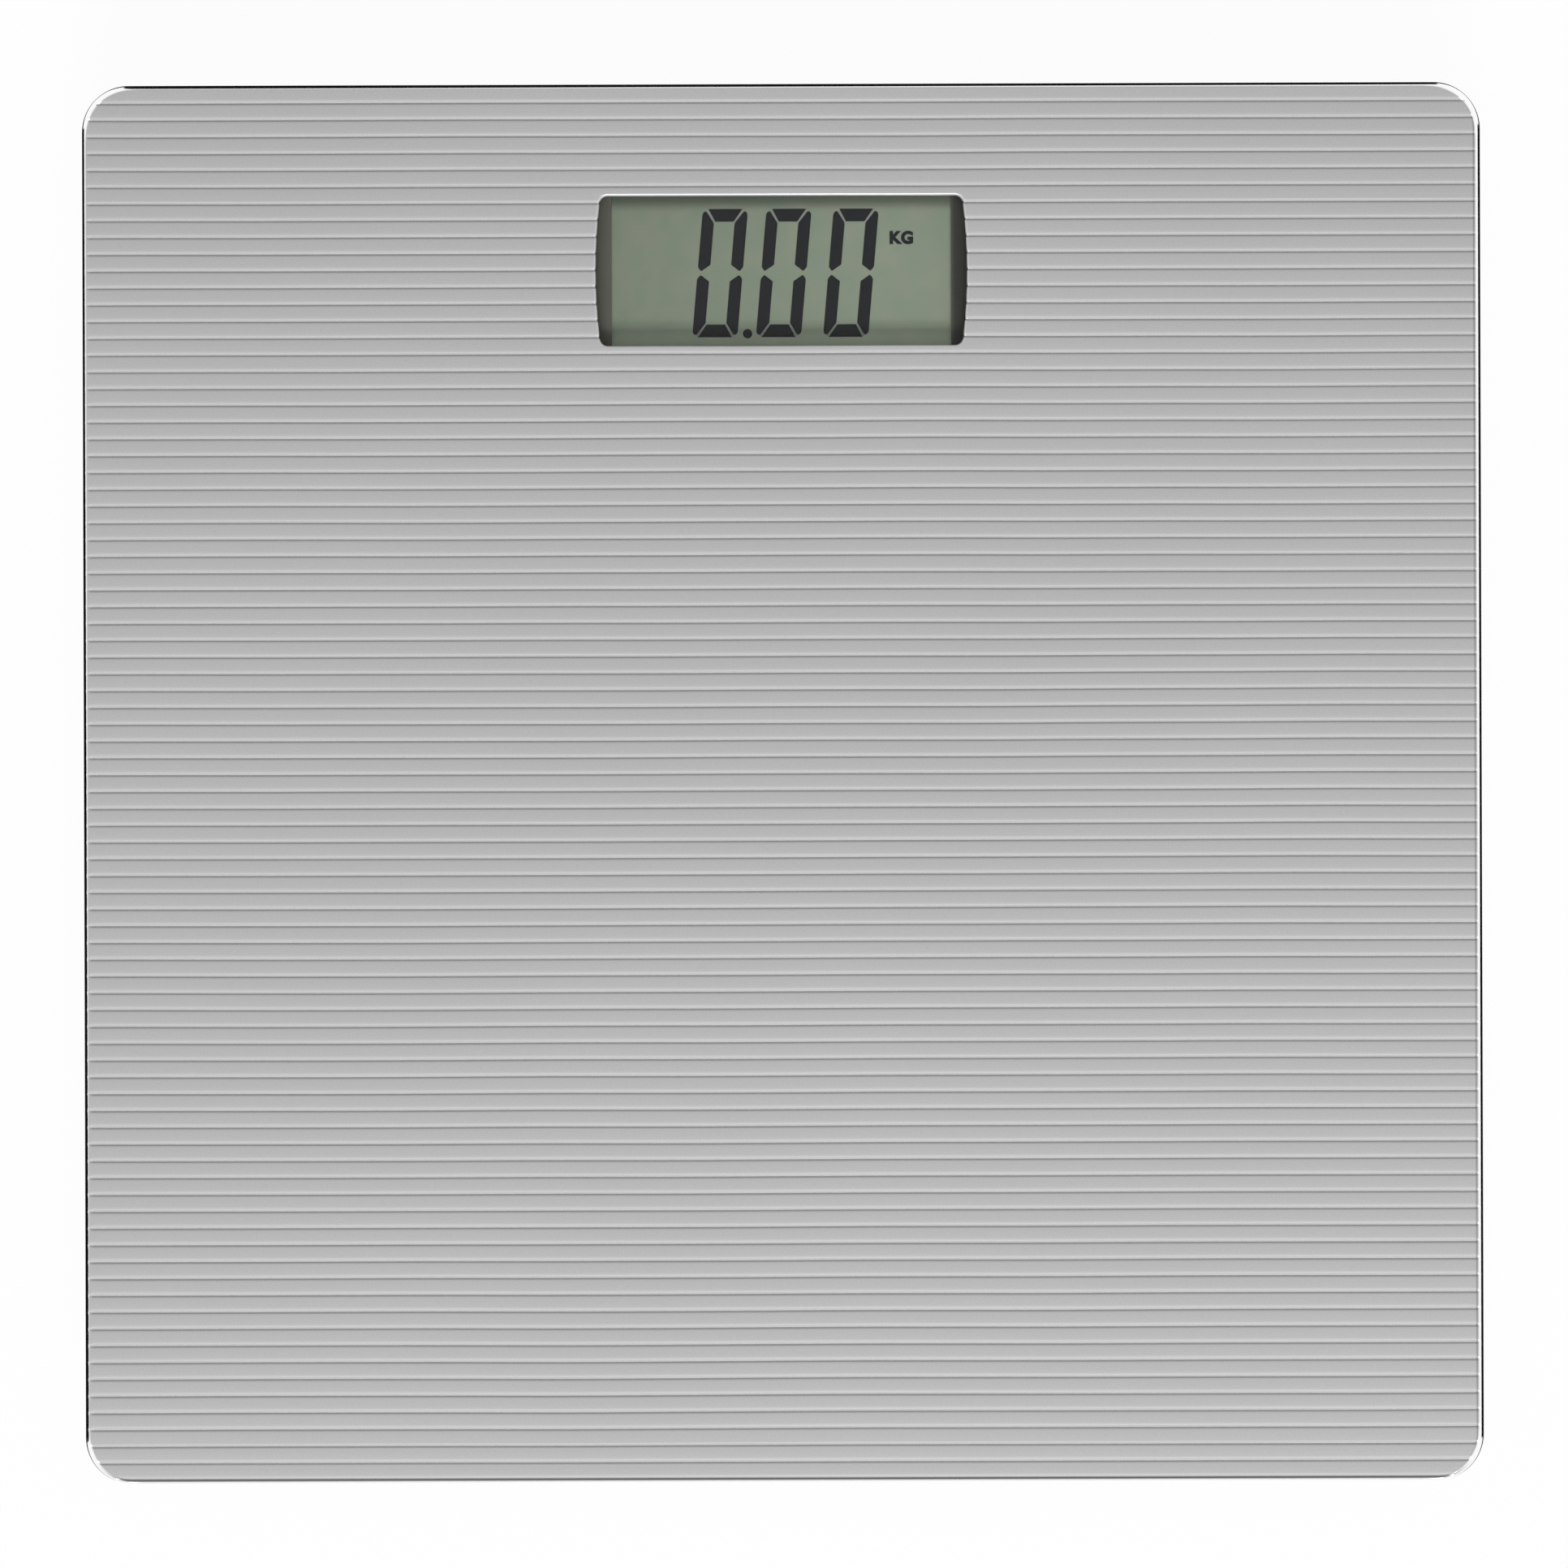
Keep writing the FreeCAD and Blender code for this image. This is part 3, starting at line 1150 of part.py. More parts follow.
def tube(points, radius, bend):
    """Round wire along straight runs joined by tangent arcs."""
    edges = []
    last = points[0]
    for before, point, after in zip(points, points[1:], points[2:]):
        inward = (before - point).normalize()
        outward = (after - point).normalize()
        half_turn = (math.pi - inward.getAngle(outward)) / 2
        trim = bend * math.tan(half_turn)
        limit = 0.45 * min((before - point).Length, (after - point).Length)
        trim = min(trim, limit)
        reach = trim / math.tan(half_turn)
        middle_way = (inward + outward).normalize()
        centre_distance = math.hypot(trim, reach)
        middle = point + middle_way * (centre_distance - reach)
        start = point + inward * trim
        end = point + outward * trim
        edges.append(Part.LineSegment(last, start).toShape())
        edges.append(Part.Arc(start, middle, end).toShape())
        last = end
    edges.append(Part.LineSegment(last, points[-1]).toShape())
    path = Part.Wire(edges)
    section = Part.Wire(Part.Circle(points[0], points[1] - points[0], radius).toShape())
    pipe = path.makePipeShell([section], True, False)
    expected = math.pi * radius ** 2 * path.Length
    if abs(pipe.Volume - expected) > 0.02 * expected:
        raise ValueError("a wire's tube has the wrong volume")
    return pipe


def cell_wires(corner):
    """Three thin insulated wires side by side, from the gauge to their header."""
    middle = wire_route(corner)
    radius = size_of("wire_radius")
    bend = size_of("wire_bend")
    spacing = size_of("wire_spacing")
    routes = [beside(middle, offset * spacing) for offset in (-1, 0, 1)]
    item = doc.addObject("Part::Feature", f"cell_wires_{corner}")
    item.Shape = Part.makeCompound([tube(route, radius, bend) for route in routes])
    return keep(f"cell_wires_{corner}", item)


def corner_parts():
    """Foot, rubber pad, load cell, gauge, retainer and wires at each of the four corners."""
    for corner, (side_x, side_y) in CORNERS.items():
        x = f"{side_x} * {FOOT_X}"
        y = f"{side_y} * {FOOT_Y}"
        turn = 90 * side_x
        foot_puck(corner, x, y)
        foot_pad(corner, x, y)
        load_cell(corner, x, y, turn)
        strain_gauge(corner, x, y, turn)
        cell_retainer(corner, x, y)
        cell_wires(corner)


def check_document():
    """Stop on a failed object, a bad shape, or a feature that adds or removes nothing."""
    for item in doc.Objects:
        if "Invalid" in item.State or "Error" in item.State:
            raise ValueError(f"{item.Label} failed: {item.State}")
        base = getattr(item, "BaseFeature", None)
        if base and item.TypeId.startswith("PartDesign::"):
            change = item.Shape.Volume - base.Shape.Volume
            removes = item.TypeId.split("::")[1] in ("Pocket", "SubtractiveLoft")
            if abs(change) < 1e-3 or (removes and change > 0):
                raise ValueError(f"{item.Label} changes nothing")
    for item in sub_parts:
        if item.Shape.isNull() or not item.Shape.isValid() or not item.Shape.Solids:
            raise ValueError(f"{item.Label} has no valid solid")


platform_cover()
platform_frame()
base_tray()
display_lens()
lens_tape()
lcd_panel()
lcd_frame()
zebra_strip("front", -1)
zebra_strip("rear", 1)
main_board()
chip_coating()
board_components()
cell_headers()
tact_switch()
tact_plunger()
unit_button()
battery_holder()
battery_contacts()
coin_battery()
battery_cap()
corner_parts()
screws()
doc.recompute()
check_document()

os.makedirs("parts", exist_ok=True)
for sub_part in sub_parts:
    sub_part.Shape.exportStep(os.path.join("parts", sub_part.Label + ".step"))
    print(sub_part.Label, len(sub_part.Shape.Solids), round(sub_part.Shape.Volume, 1))
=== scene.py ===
"""Looks of a digital bathroom scale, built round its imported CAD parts. Metres throughout."""

import math

import bmesh
import bpy
import numpy as np
from mathutils import Matrix, Vector


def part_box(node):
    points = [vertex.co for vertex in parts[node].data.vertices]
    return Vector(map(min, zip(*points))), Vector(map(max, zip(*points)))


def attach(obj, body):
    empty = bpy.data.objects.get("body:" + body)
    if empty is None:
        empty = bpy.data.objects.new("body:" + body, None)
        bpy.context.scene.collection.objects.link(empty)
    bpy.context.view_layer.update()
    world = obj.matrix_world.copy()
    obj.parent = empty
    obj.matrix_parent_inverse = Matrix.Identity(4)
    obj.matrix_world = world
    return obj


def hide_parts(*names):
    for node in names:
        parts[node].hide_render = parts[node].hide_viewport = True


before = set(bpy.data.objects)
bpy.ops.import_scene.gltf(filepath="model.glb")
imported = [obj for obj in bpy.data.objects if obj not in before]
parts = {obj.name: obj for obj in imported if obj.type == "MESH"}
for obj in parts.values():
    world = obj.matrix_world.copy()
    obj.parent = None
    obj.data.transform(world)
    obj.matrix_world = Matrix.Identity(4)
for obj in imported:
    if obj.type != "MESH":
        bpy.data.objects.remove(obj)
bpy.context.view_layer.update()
MM = 0.001


# ---------------------------------------------------------------------------------------------
# Platform cover: a 1.2 mm sheet pressed into a shallow tray, with ribs rolled across its face
# and a window punched and lipped for the display. Satin silver-grey paint, with a bright polished
# band along the rounded rim and the lip that carries a painted highlight, widest round the corners
# and on the right, and painted shade in soft dark lines inside the front and right edges.
# It is glued down on the platform frame.
# ---------------------------------------------------------------------------------------------
low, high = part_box("platform_cover")
HALF_SIDE = high.x
COVER_TOP = high.z
SKIRT_END = low.z
OUTER_CORNER = 10 * MM
RIM_ROUND = 1.2 * MM
COVER_SHEET = 1.2 * MM
RIB_PITCH = 3.6 * MM
FIRST_GROOVE = HALF_SIDE - 3.9 * MM
GROOVES = 83
GROOVE_DEPTH = 0.4 * MM
PLAIN_RIM = 0.3 * MM
# where the ribs run out: in from the two sides, in from the rear edge and down the skirt, and the
# share of their depth that is left at the window
SIDE_LAND = (0.8 * MM, 1.7 * MM)
REAR_LAND = (1.0 * MM, 2.2 * MM)
SKIRT_LAND = 0.9 * MM
LIP_PRESS = 0.7
WINDOW_Y = 109.9 * MM
WINDOW_REACH = 38.75 * MM
WINDOW_BOW = 1.05 * MM
WINDOW_HALF = 16.1 * MM
WINDOW_CORNER = 1.5 * MM
LIP_ROUND = 0.5 * MM
# painted highlight along the window's lip: its strength, and where it fades out from the lip
LIP_SHINE = 0.32
LIP_BRIGHT = (0.2 * MM, 0.55 * MM)
HEM_ROUND = 0.35 * MM
HEM_BEND = 0.1 * MM
SMOOTHEST_TURN = math.radians(50)
# bright rim, a polished band with a painted highlight: its width, how many times that it grows to
# round a corner, what is added all round and along the right side, and the width of its fade
RIM_BRIGHT = 0.55 * MM
RIM_CORNER_TIMES = 1.7
RIM_ADDED = 0.12 * MM
RIM_ADDED_RIGHT = 0.25 * MM
RIM_FADE = 0.4 * MM
# painted shade: soft dark lines inside the front and right edges: strength, distance in and width
FRONT_PAINTED_SHADE = (1.0, 0.8 * MM, 0.28 * MM)
RIGHT_PAINTED_SHADE = (0.6, 1.5 * MM, 0.18 * MM)
RIB_WAVER = 0.5 * MM
WAVER_FADE = 12 * MM
# columns of the sheet: over the window as shares of its half width, then millimetres out from its
# lip, then millimetres in from the outline
OVER_WINDOW = (0, 0.25, 0.5, 0.75, 0.92)
FROM_LIP = (0.9, 1.6, 3, 5.5, 9, 14, 22, 32, 44, 58, 72, 84)
FROM_OUTLINE = (11, 6.5, 4, 2.6, 2, 1.75, 1.45)
ROW_APART = 0.05 * MM
# one rib from groove bottom to groove bottom, towards the front: share of the pitch, share of the
# depth pressed in
RIB_SECTION = [(0, 1), (0.03, 0.9), (0.07, 0.48), (0.105, 0.18), (0.14, 0.115), (0.222, 0.07),
               (0.47, 0), (0.71, 0.055), (0.86, 0.12), (0.9, 0.28), (0.94, 0.62), (0.975, 0.92), (1, 1)]


def node(tree, kind, feeds=None, **settings):
    """Adds a node. A feed is what a socket holds, or the other node's socket that it comes from."""
    made = tree.nodes.new(kind)
    for name, value in settings.items():
        setattr(made, name, value)
    for name, value in (feeds or {}).items():
        if isinstance(value, bpy.types.NodeSocket):
            tree.links.new(value, made.inputs[name])
        else:
            made.inputs[name].default_value = value
    return made


def reckon(tree, operation, *values):
    """The result of a Math node."""
    return node(tree, "ShaderNodeMath", dict(enumerate(values)), operation=operation).outputs[0]


def run(tree, value, start, end, low, high, kind="LINEAR"):
    """Goes from low at start to high at end, as a value does, straight or with a smooth step."""
    feeds = {"Value": value, "From Min": start, "From Max": end, "To Min": low, "To Max": high}
    return node(tree, "ShaderNodeMapRange", feeds, interpolation_type=kind).outputs[0]


def scaled(tree, vector, share):
    """A colour or an offset times one number."""
    feeds = {0: vector, "Scale": share}
    return node(tree, "ShaderNodeVectorMath", feeds, operation="SCALE").outputs[0]


def between(tree, share, first, second):
    """A colour between two: a Mix node takes its colours at sockets 6 and 7 and gives one at 2."""
    feeds = {"Factor": share, 6: first, 7: second}
    return node(tree, "ShaderNodeMix", feeds, data_type="RGBA").outputs[2]


def shade(red, green, blue):
    """A colour written in screen values from 0 to 255, as the shader takes it."""
    parts_of_one = [value / 255 for value in (red, green, blue)]
    linear = [v / 12.92 if v <= 0.04045 else ((v + 0.055) / 1.055) ** 2.4 for v in parts_of_one]
    return (*linear, 1)


def new_finish(name, sockets):
    """A finish on one Principled shader, with the values that are the same all over it."""
    finish = bpy.data.materials.new(name)
    finish.use_nodes = True
    shader = finish.node_tree.nodes["Principled BSDF"]
    for socket, value in sockets.items():
        shader.inputs[socket].default_value = value
    return finish


def noise(finish, scale, detail=2, stretch=(1, 1, 1)):
    """Noise over the piece's own coordinates, with that many specks to the metre."""
    tree = finish.node_tree
    place = node(tree, "ShaderNodeTexCoord").outputs["Object"]
    turned = node(tree, "ShaderNodeMapping", {"Vector": place, "Scale": stretch}).outputs[0]
    feeds = {"Vector": turned, "Scale": scale, "Detail": detail}
    return node(tree, "ShaderNodeTexNoise", feeds).outputs[0]


def own_place(tree):
    """The piece's own coordinates, apart as X, Y and Z."""
    place = node(tree, "ShaderNodeTexCoord").outputs["Object"]
    return node(tree, "ShaderNodeSeparateXYZ", {0: place}).outputs


def mottle(finish, scale, dark, light, detail=3, stretch=(1, 1, 1), spread=0.15):
    """Colour that drifts between two shades."""
    tree = finish.node_tree
    ramp = node(tree, "ShaderNodeValToRGB", {"Fac": noise(finish, scale, detail, stretch)})
    ramp.color_ramp.elements[0].position = 0.5 - spread
    ramp.color_ramp.elements[0].color = dark
    ramp.color_ramp.elements[1].position = 0.5 + spread
    ramp.color_ramp.elements[1].color = light
    tree.links.new(ramp.outputs["Color"], tree.nodes["Principled BSDF"].inputs["Base Color"])
    return ramp.outputs["Color"]


def grain(finish, scale, depth, detail=2, stretch=(1, 1, 1)):
    """Fine relief of that depth."""
    tree = finish.node_tree
    height = noise(finish, scale, detail, stretch)
    bump = node(tree, "ShaderNodeBump", {"Height": height, "Distance": depth, "Strength": 1.0})
    tree.links.new(bump.outputs[0], tree.nodes["Principled BSDF"].inputs["Normal"])
    return bump


def rub(finish, scale, smooth, rough, stretch=(1, 1, 1)):
    """Roughness that varies between two values, as handling leaves it."""
    tree = finish.node_tree
    spread = run(tree, noise(finish, scale, 3, stretch), 0.35, 0.65, smooth, rough)
    tree.links.new(spread, tree.nodes["Principled BSDF"].inputs["Roughness"])


def new_object(name, mesh, *finishes):
    """Turns a finished bmesh into an object in the scene."""
    data = bpy.data.meshes.new(name)
    mesh.to_mesh(data)
    mesh.free()
    for finish in finishes:
        data.materials.append(finish)
    made = bpy.data.objects.new(name, data)
    bpy.context.scene.collection.objects.link(made)
    return made


def ease(value, start, end):
    """0 before start and 1 after end, with a smooth step between."""
    t = np.clip((value - start) / (end - start), 0, 1)
    return t * t * (3 - 2 * t)


def round_over(distance, radius):
    """How far a rounded edge has fallen, at a distance in from where it ends."""
    short = np.clip(radius - distance, 0, radius)
    return radius - np.sqrt(radius**2 - short**2)


def outline_reach(y):
    """Half width of the cover's outline at y."""
    past = np.clip(np.abs(y) - (HALF_SIDE - OUTER_CORNER), 0, OUTER_CORNER)
    return HALF_SIDE - OUTER_CORNER + np.sqrt(OUTER_CORNER**2 - past**2)


def window_side(y):
    """Half width of the window at y before its corners are rounded: the sides bow outwards."""
    share = np.clip(np.abs(y - WINDOW_Y) / WINDOW_HALF, 0, 1)
    return WINDOW_REACH + WINDOW_BOW * (1 - share**2)


def window_reach(y):
    """Half width of the window's outline at y."""
    past = np.clip(np.abs(y - WINDOW_Y) - (WINDOW_HALF - WINDOW_CORNER), 0, WINDOW_CORNER)
    return window_side(y) - WINDOW_CORNER + np.sqrt(WINDOW_CORNER**2 - past**2)


def inside_by(x, y, side_x, side_y, corner):
    """Distance in from a rounded rectangle's outline, negative outside it."""
    across, along = np.abs(x) - (side_x - corner), np.abs(y) - (side_y - corner)
    beyond = np.hypot(np.maximum(across, 0), np.maximum(along, 0))
    return corner - beyond - np.minimum(np.maximum(across, along), 0)


def cover_rows():
    """The y of each row of the blank: the rims, the window's edges and corners, and each rib's section."""
    turns = np.radians(np.arange(0, 91, 15))
    needed = []
    for side in (1, -1):
        needed += list(side * (HALF_SIDE - RIM_ROUND * (1 - np.cos(turns))))
        needed += list(side * (HALF_SIDE - OUTER_CORNER * (1 - np.sin(np.radians(np.arange(0, 84, 7.5))))))
        needed += list(WINDOW_Y + side * (WINDOW_HALF + LIP_ROUND * (1 - np.cos(turns))))
        needed += list(WINDOW_Y + side * (WINDOW_HALF - WINDOW_CORNER * (1 - np.sin(turns[:-1]))))
    needed = sorted(set(np.round(needed, 8)))
    ribs = [FIRST_GROOVE - RIB_PITCH * (groove + share)
            for groove in range(-1, GROOVES) for share, _ in RIB_SECTION[:-1]]
    ribs = [y for y in ribs if abs(y) < HALF_SIDE - PLAIN_RIM]
    clear = [y for y in ribs if min(abs(y - other) for other in needed) > ROW_APART]
    return np.array(sorted(needed + clear, reverse=True))


def cover_columns(y):
    """The x of each column at y, closest together at the window's lip and the outer rim."""
    lip = window_reach(y)
    rim = outline_reach(y)
    turns = np.radians(np.arange(15, 91, 15))
    right = [share * lip for share in OVER_WINDOW] + [lip]
    right += [lip + LIP_ROUND * (1 - math.cos(turn)) for turn in turns]
    right += [lip + step * MM for step in FROM_LIP] + [rim - step * MM for step in FROM_OUTLINE]
    right += [rim - RIM_ROUND * (1 - math.cos(turn)) for turn in turns[::-1]] + [rim]
    right = np.array(right)
    return np.concatenate([-right[:0:-1], right]).T


def skirt_turn(x, y):
    """Direction out of the cover at a point on its outline."""
    hub = HALF_SIDE - OUTER_CORNER
    out = np.stack([np.where(np.abs(x) > hub, x - np.sign(x) * hub, 0),
                    np.where(np.abs(y) > hub, y - np.sign(y) * hub, 0)], -1)
    return out / np.linalg.norm(out, axis=1, keepdims=True)


def cover_blank():
    """The sheet cut and edged, still without ribs, with how far each point may be pressed."""
    rows = cover_rows()
    xs = cover_columns(rows)
    ys = np.repeat(rows[:, None], xs.shape[1], 1)
    edge = inside_by(xs, ys, HALF_SIDE, HALF_SIDE, OUTER_CORNER)
    hole = -inside_by(xs, ys - WINDOW_Y, window_side(ys), WINDOW_HALF, WINDOW_CORNER)
    zs = COVER_TOP - round_over(np.maximum(edge, 0), RIM_ROUND) - round_over(np.maximum(hole, 0), LIP_ROUND)
    beside = outline_reach(ys) - np.abs(xs)
    press = ease(beside, *SIDE_LAND) * ease(edge, 0.5 * PLAIN_RIM, 2 * PLAIN_RIM)
    press *= LIP_PRESS + (1 - LIP_PRESS) * ease(hole, 0, LIP_ROUND)
    press *= ease(HALF_SIDE - ys, *REAR_LAND)
    # the polished band with its painted highlight: near the outline, and fainter at the window's lip
    bright = np.maximum(edge < 0.5 * OUTER_CORNER, LIP_SHINE * (1 - ease(hole, *LIP_BRIGHT)))
    middle = xs.shape[1] // 2
    left, right = middle - len(OVER_WINDOW), middle + len(OVER_WINDOW)
    high_row = int(np.argmin(np.abs(rows - (WINDOW_Y + WINDOW_HALF))))
    low_row = int(np.argmin(np.abs(rows - (WINDOW_Y - WINDOW_HALF))))
    count_x, count_y = xs.shape[1], len(rows)
    points = [tuple(p) for p in np.stack([xs, ys, zs], -1).reshape(-1, 3)]
    pressed, shiny = list(press.reshape(-1)), list(bright.reshape(-1))
    faces = []
    for i in range(count_y - 1):
        for j in range(count_x - 1):
            if high_row <= i < low_row and left <= j < right:
                continue
            a = i * count_x + j
            faces.append((a, a + count_x, a + count_x + 1, a + 1))

    def hang(ring, outwards, steps):
        """Carries on down from a ring of points through steps of (inset, z, press, bright)."""
        start = np.array([points[n] for n in ring])
        above = list(ring)
        for inset, z, press_share, bright_share in steps:
            below = list(range(len(points), len(points) + len(ring)))
            for point, out, top in zip(start, outwards, ring):
                points.append((point[0] - out[0] * inset, point[1] - out[1] * inset, z))
                pressed.append(pressed[top] * press_share)
                shiny.append(bright_share)
            for k in range(len(ring)):
                n = (k + 1) % len(ring)
                faces.append((above[k], above[n], below[n], below[k]))
            above = below
        return above

    top_row = list(range(count_x))
    right_side = [i * count_x + count_x - 1 for i in range(1, count_y)]
    bottom_row = [(count_y - 1) * count_x + j for j in range(count_x - 2, -1, -1)]
    left_side = [i * count_x for i in range(count_y - 2, 0, -1)]
    outer = (top_row + right_side + bottom_row + left_side)[::-1]
    outer_xy = np.array([points[n][:2] for n in outer])
    under = COVER_TOP - COVER_SHEET
    outer_steps = [(0, under - SKIRT_LAND, 0.5, 0), (0, SKIRT_END + HEM_ROUND, 0, 0),
                   (HEM_BEND, SKIRT_END + HEM_BEND, 0, 0), (HEM_ROUND, SKIRT_END, 0, 0),
                   (COVER_SHEET, SKIRT_END, 0, 0), (COVER_SHEET, under, 0, 0)]
    inner_outer = hang(outer, skirt_turn(outer_xy[:, 0], outer_xy[:, 1]), outer_steps)
    window = [high_row * count_x + j for j in range(left, right + 1)]
    window += [i * count_x + right for i in range(high_row + 1, low_row + 1)]
    window += [low_row * count_x + j for j in range(right - 1, left - 1, -1)]
    window += [i * count_x + left for i in range(low_row - 1, high_row, -1)]
    inner_window = hang(window, np.zeros((len(window), 2)), [(0, under, 0.6, 0.3)])

    mesh = bmesh.new()
    layers = [mesh.verts.layers.float.new(name) for name in ("press", "polish_and_highlight")]
    verts = [mesh.verts.new(p) for p in points]
    for layer, values in zip(layers, (pressed, shiny)):
        for vert, value in zip(verts, values):
            vert[layer] = value
    for face in faces:
        mesh.faces.new([verts[n] for n in face])
    loops = []
    for ring in (inner_outer, inner_window):
        for k, n in enumerate(ring):
            loops.append(mesh.edges.get((verts[n], verts[ring[(k + 1) % len(ring)]])))
    bmesh.ops.triangle_fill(mesh, use_beauty=False, use_dissolve=False, edges=loops, normal=(0, 0, -1))
    bmesh.ops.delete(mesh, geom=[v for v in mesh.verts if not v.link_faces], context="VERTS")
    bmesh.ops.recalc_face_normals(mesh, faces=mesh.faces)
    blank = new_object("cover_blank", mesh)
    blank.data.shade_smooth()
    return blank


def new_tree(name, **sizes):
    """An empty Geometry Nodes tree with named inputs, and the outputs of its first node."""
    tree = bpy.data.node_groups.new(name, "GeometryNodeTree")
    tree.interface.new_socket(name="Geometry", in_out="INPUT", socket_type="NodeSocketGeometry")
    for label, kind in sizes.items():
        tree.interface.new_socket(name=label, in_out="INPUT", socket_type="NodeSocket" + kind)
    tree.interface.new_socket(name="Geometry", in_out="OUTPUT", socket_type="NodeSocketGeometry")
    return tree, node(tree, "NodeGroupInput").outputs


def close_tree(tree, geometry, finish):
    """Ends a tree with real geometry in its finish."""
    real = node(tree, "GeometryNodeRealizeInstances", {0: geometry}).outputs[0]
    painted = node(tree, "GeometryNodeSetMaterial", {"Geometry": real, "Material": finish}).outputs[0]
    node(tree, "NodeGroupOutput", {0: painted})


def make_piece(name, source, tree, values):
    """Runs a tree on a source object, and leaves the result as one plain mesh piece."""
    modifier = source.modifiers.new(tree.name, "NODES")
    modifier.node_group = tree
    for item in tree.interface.items_tree:
        if item.in_out == "INPUT" and item.name in values:
            modifier[item.identifier] = values[item.name]
    graph = bpy.context.evaluated_depsgraph_get()
    mesh = bpy.data.meshes.new_from_object(source.evaluated_get(graph), depsgraph=graph)
    bpy.data.objects.remove(source)
    piece = bpy.data.objects.new(name, mesh)
    bpy.context.scene.collection.objects.link(piece)
    return piece


cover_paint = new_finish("cover_paint", {"Specular IOR Level": 0.5})
tree = cover_paint.node_tree
paint = tree.nodes["Principled BSDF"]
# painted face: fine flake under a slow drift of tone
flake = mottle(cover_paint, 5200, shade(179, 179, 179), shade(191, 191, 191), detail=2, spread=0.2)
cloud = run(tree, noise(cover_paint, 9, 3), 0.3, 0.7, 0.985, 1.015)
toned = node(tree, "ShaderNodeVectorMath", {0: flake, 1: cloud}, operation="MULTIPLY").outputs[0]
# distance in from the outline, and how far the outline faces the front and the right
spot = own_place(tree)
far_out = [reckon(tree, "ABSOLUTE", spot[axis]) for axis in "XY"]
past = [reckon(tree, "MAXIMUM", reckon(tree, "SUBTRACT", far, HALF_SIDE - OUTER_CORNER), 0.0)
        for far in far_out]
reach = reckon(tree, "SQRT", reckon(tree, "ADD", *[reckon(tree, "MULTIPLY", far, far) for far in past]))
inside = reckon(tree, "SUBTRACT", OUTER_CORNER, reach)
divisor = reckon(tree, "MAXIMUM", reach, 0.01 * MM)
front, right = [reckon(tree, "MULTIPLY", reckon(tree, "DIVIDE", far, divisor), side)
                for far, side in ((past[1], reckon(tree, "LESS_THAN", spot["Y"], 0.0)),
                                  (past[0], reckon(tree, "GREATER_THAN", spot["X"], 0.0)))]
# bright rim, a painted highlight on a polished band: broad round the corners and on the right, thin
# at the front, where the highlight falls
turning = run(tree, reckon(tree, "MINIMUM", *far_out), HALF_SIDE - 1.3 * OUTER_CORNER,
              HALF_SIDE - 0.6 * OUTER_CORNER, 1.0, RIM_CORNER_TIMES, "SMOOTHSTEP")
broad = reckon(tree, "SUBTRACT", turning, reckon(tree, "POWER", front, 3.0))
band = reckon(tree, "MULTIPLY", broad, RIM_BRIGHT)
band = reckon(tree, "ADD", band, reckon(tree, "MULTIPLY_ADD", right, RIM_ADDED_RIGHT, RIM_ADDED))
rim = run(tree, inside, band, reckon(tree, "ADD", band, RIM_FADE), 1.0, 0.0, "SMOOTHSTEP")
rim = reckon(tree, "MAXIMUM", rim, reckon(tree, "GREATER_THAN", inside, 0.9 * OUTER_CORNER))
edging = node(tree, "ShaderNodeAttribute", attribute_name="polish_and_highlight").outputs["Fac"]
rim_polish_and_highlight = reckon(tree, "MULTIPLY", edging, rim)


def painted_shade_line(way, strength, place, width):
    """A painted shade line, soft and dark, along the side that faces one way, at a distance in from the
    outline.
    """
    apart = reckon(tree, "DIVIDE", reckon(tree, "SUBTRACT", inside, place), width)
    squared = reckon(tree, "MULTIPLY", apart, apart)
    dip = reckon(tree, "EXPONENT", reckon(tree, "MULTIPLY", squared, -1.0))
    facing = reckon(tree, "POWER", way, 6.0)
    return reckon(tree, "MULTIPLY", reckon(tree, "MULTIPLY", facing, dip), strength)


# painted highlight: the polished band along the rim and the lip turns near white
highlight_painted_colour = between(tree, rim_polish_and_highlight, toned, shade(250, 250, 250))
# painted shade: soft dark lines inside the front and right edges
painted_shade_lines = reckon(tree, "ADD", painted_shade_line(front, *FRONT_PAINTED_SHADE), painted_shade_line(right, *RIGHT_PAINTED_SHADE))
tree.links.new(between(tree, painted_shade_lines, highlight_painted_colour, shade(96, 96, 96)), paint.inputs["Base Color"])
tree.links.new(rim_polish_and_highlight, paint.inputs["Metallic"])
gloss = node(tree, "ShaderNodeMix", {"Factor": rim_polish_and_highlight, 2: 0.46, 3: 0.1}, data_type="FLOAT")
tree.links.new(gloss.outputs[0], paint.inputs["Roughness"])
flakes = grain(cover_paint, 4300, 0.006 * MM, detail=2)
tree.links.new(reckon(tree, "SUBTRACT", 1.0, rim_polish_and_highlight), flakes.inputs["Strength"])

press, given = new_tree("rib_press", Pitch="Float", FirstGroove="Float", Depth="Float", Waver="Float",
                        HalfSide="Float", Finish="Material")
at = node(press, "GeometryNodeInputPosition").outputs[0]
split = node(press, "ShaderNodeSeparateXYZ", {0: at}).outputs
into = reckon(press, "SUBTRACT", given["FirstGroove"], split["Y"])
passed = reckon(press, "DIVIDE", into, given["Pitch"])
section = node(press, "ShaderNodeFloatCurve", {"Value": reckon(press, "FRACT", passed)})
bend = section.mapping.curves[0].points
for share, drop in RIB_SECTION[1:-1]:
    bend.new(share, drop)
bend[0].location, bend[-1].location = RIB_SECTION[0], RIB_SECTION[-1]
for point in bend:
    point.handle_type = "VECTOR"
section.mapping.update()
strength = node(press, "GeometryNodeInputNamedAttribute", {"Name": "press"}, data_type="FLOAT").outputs[0]
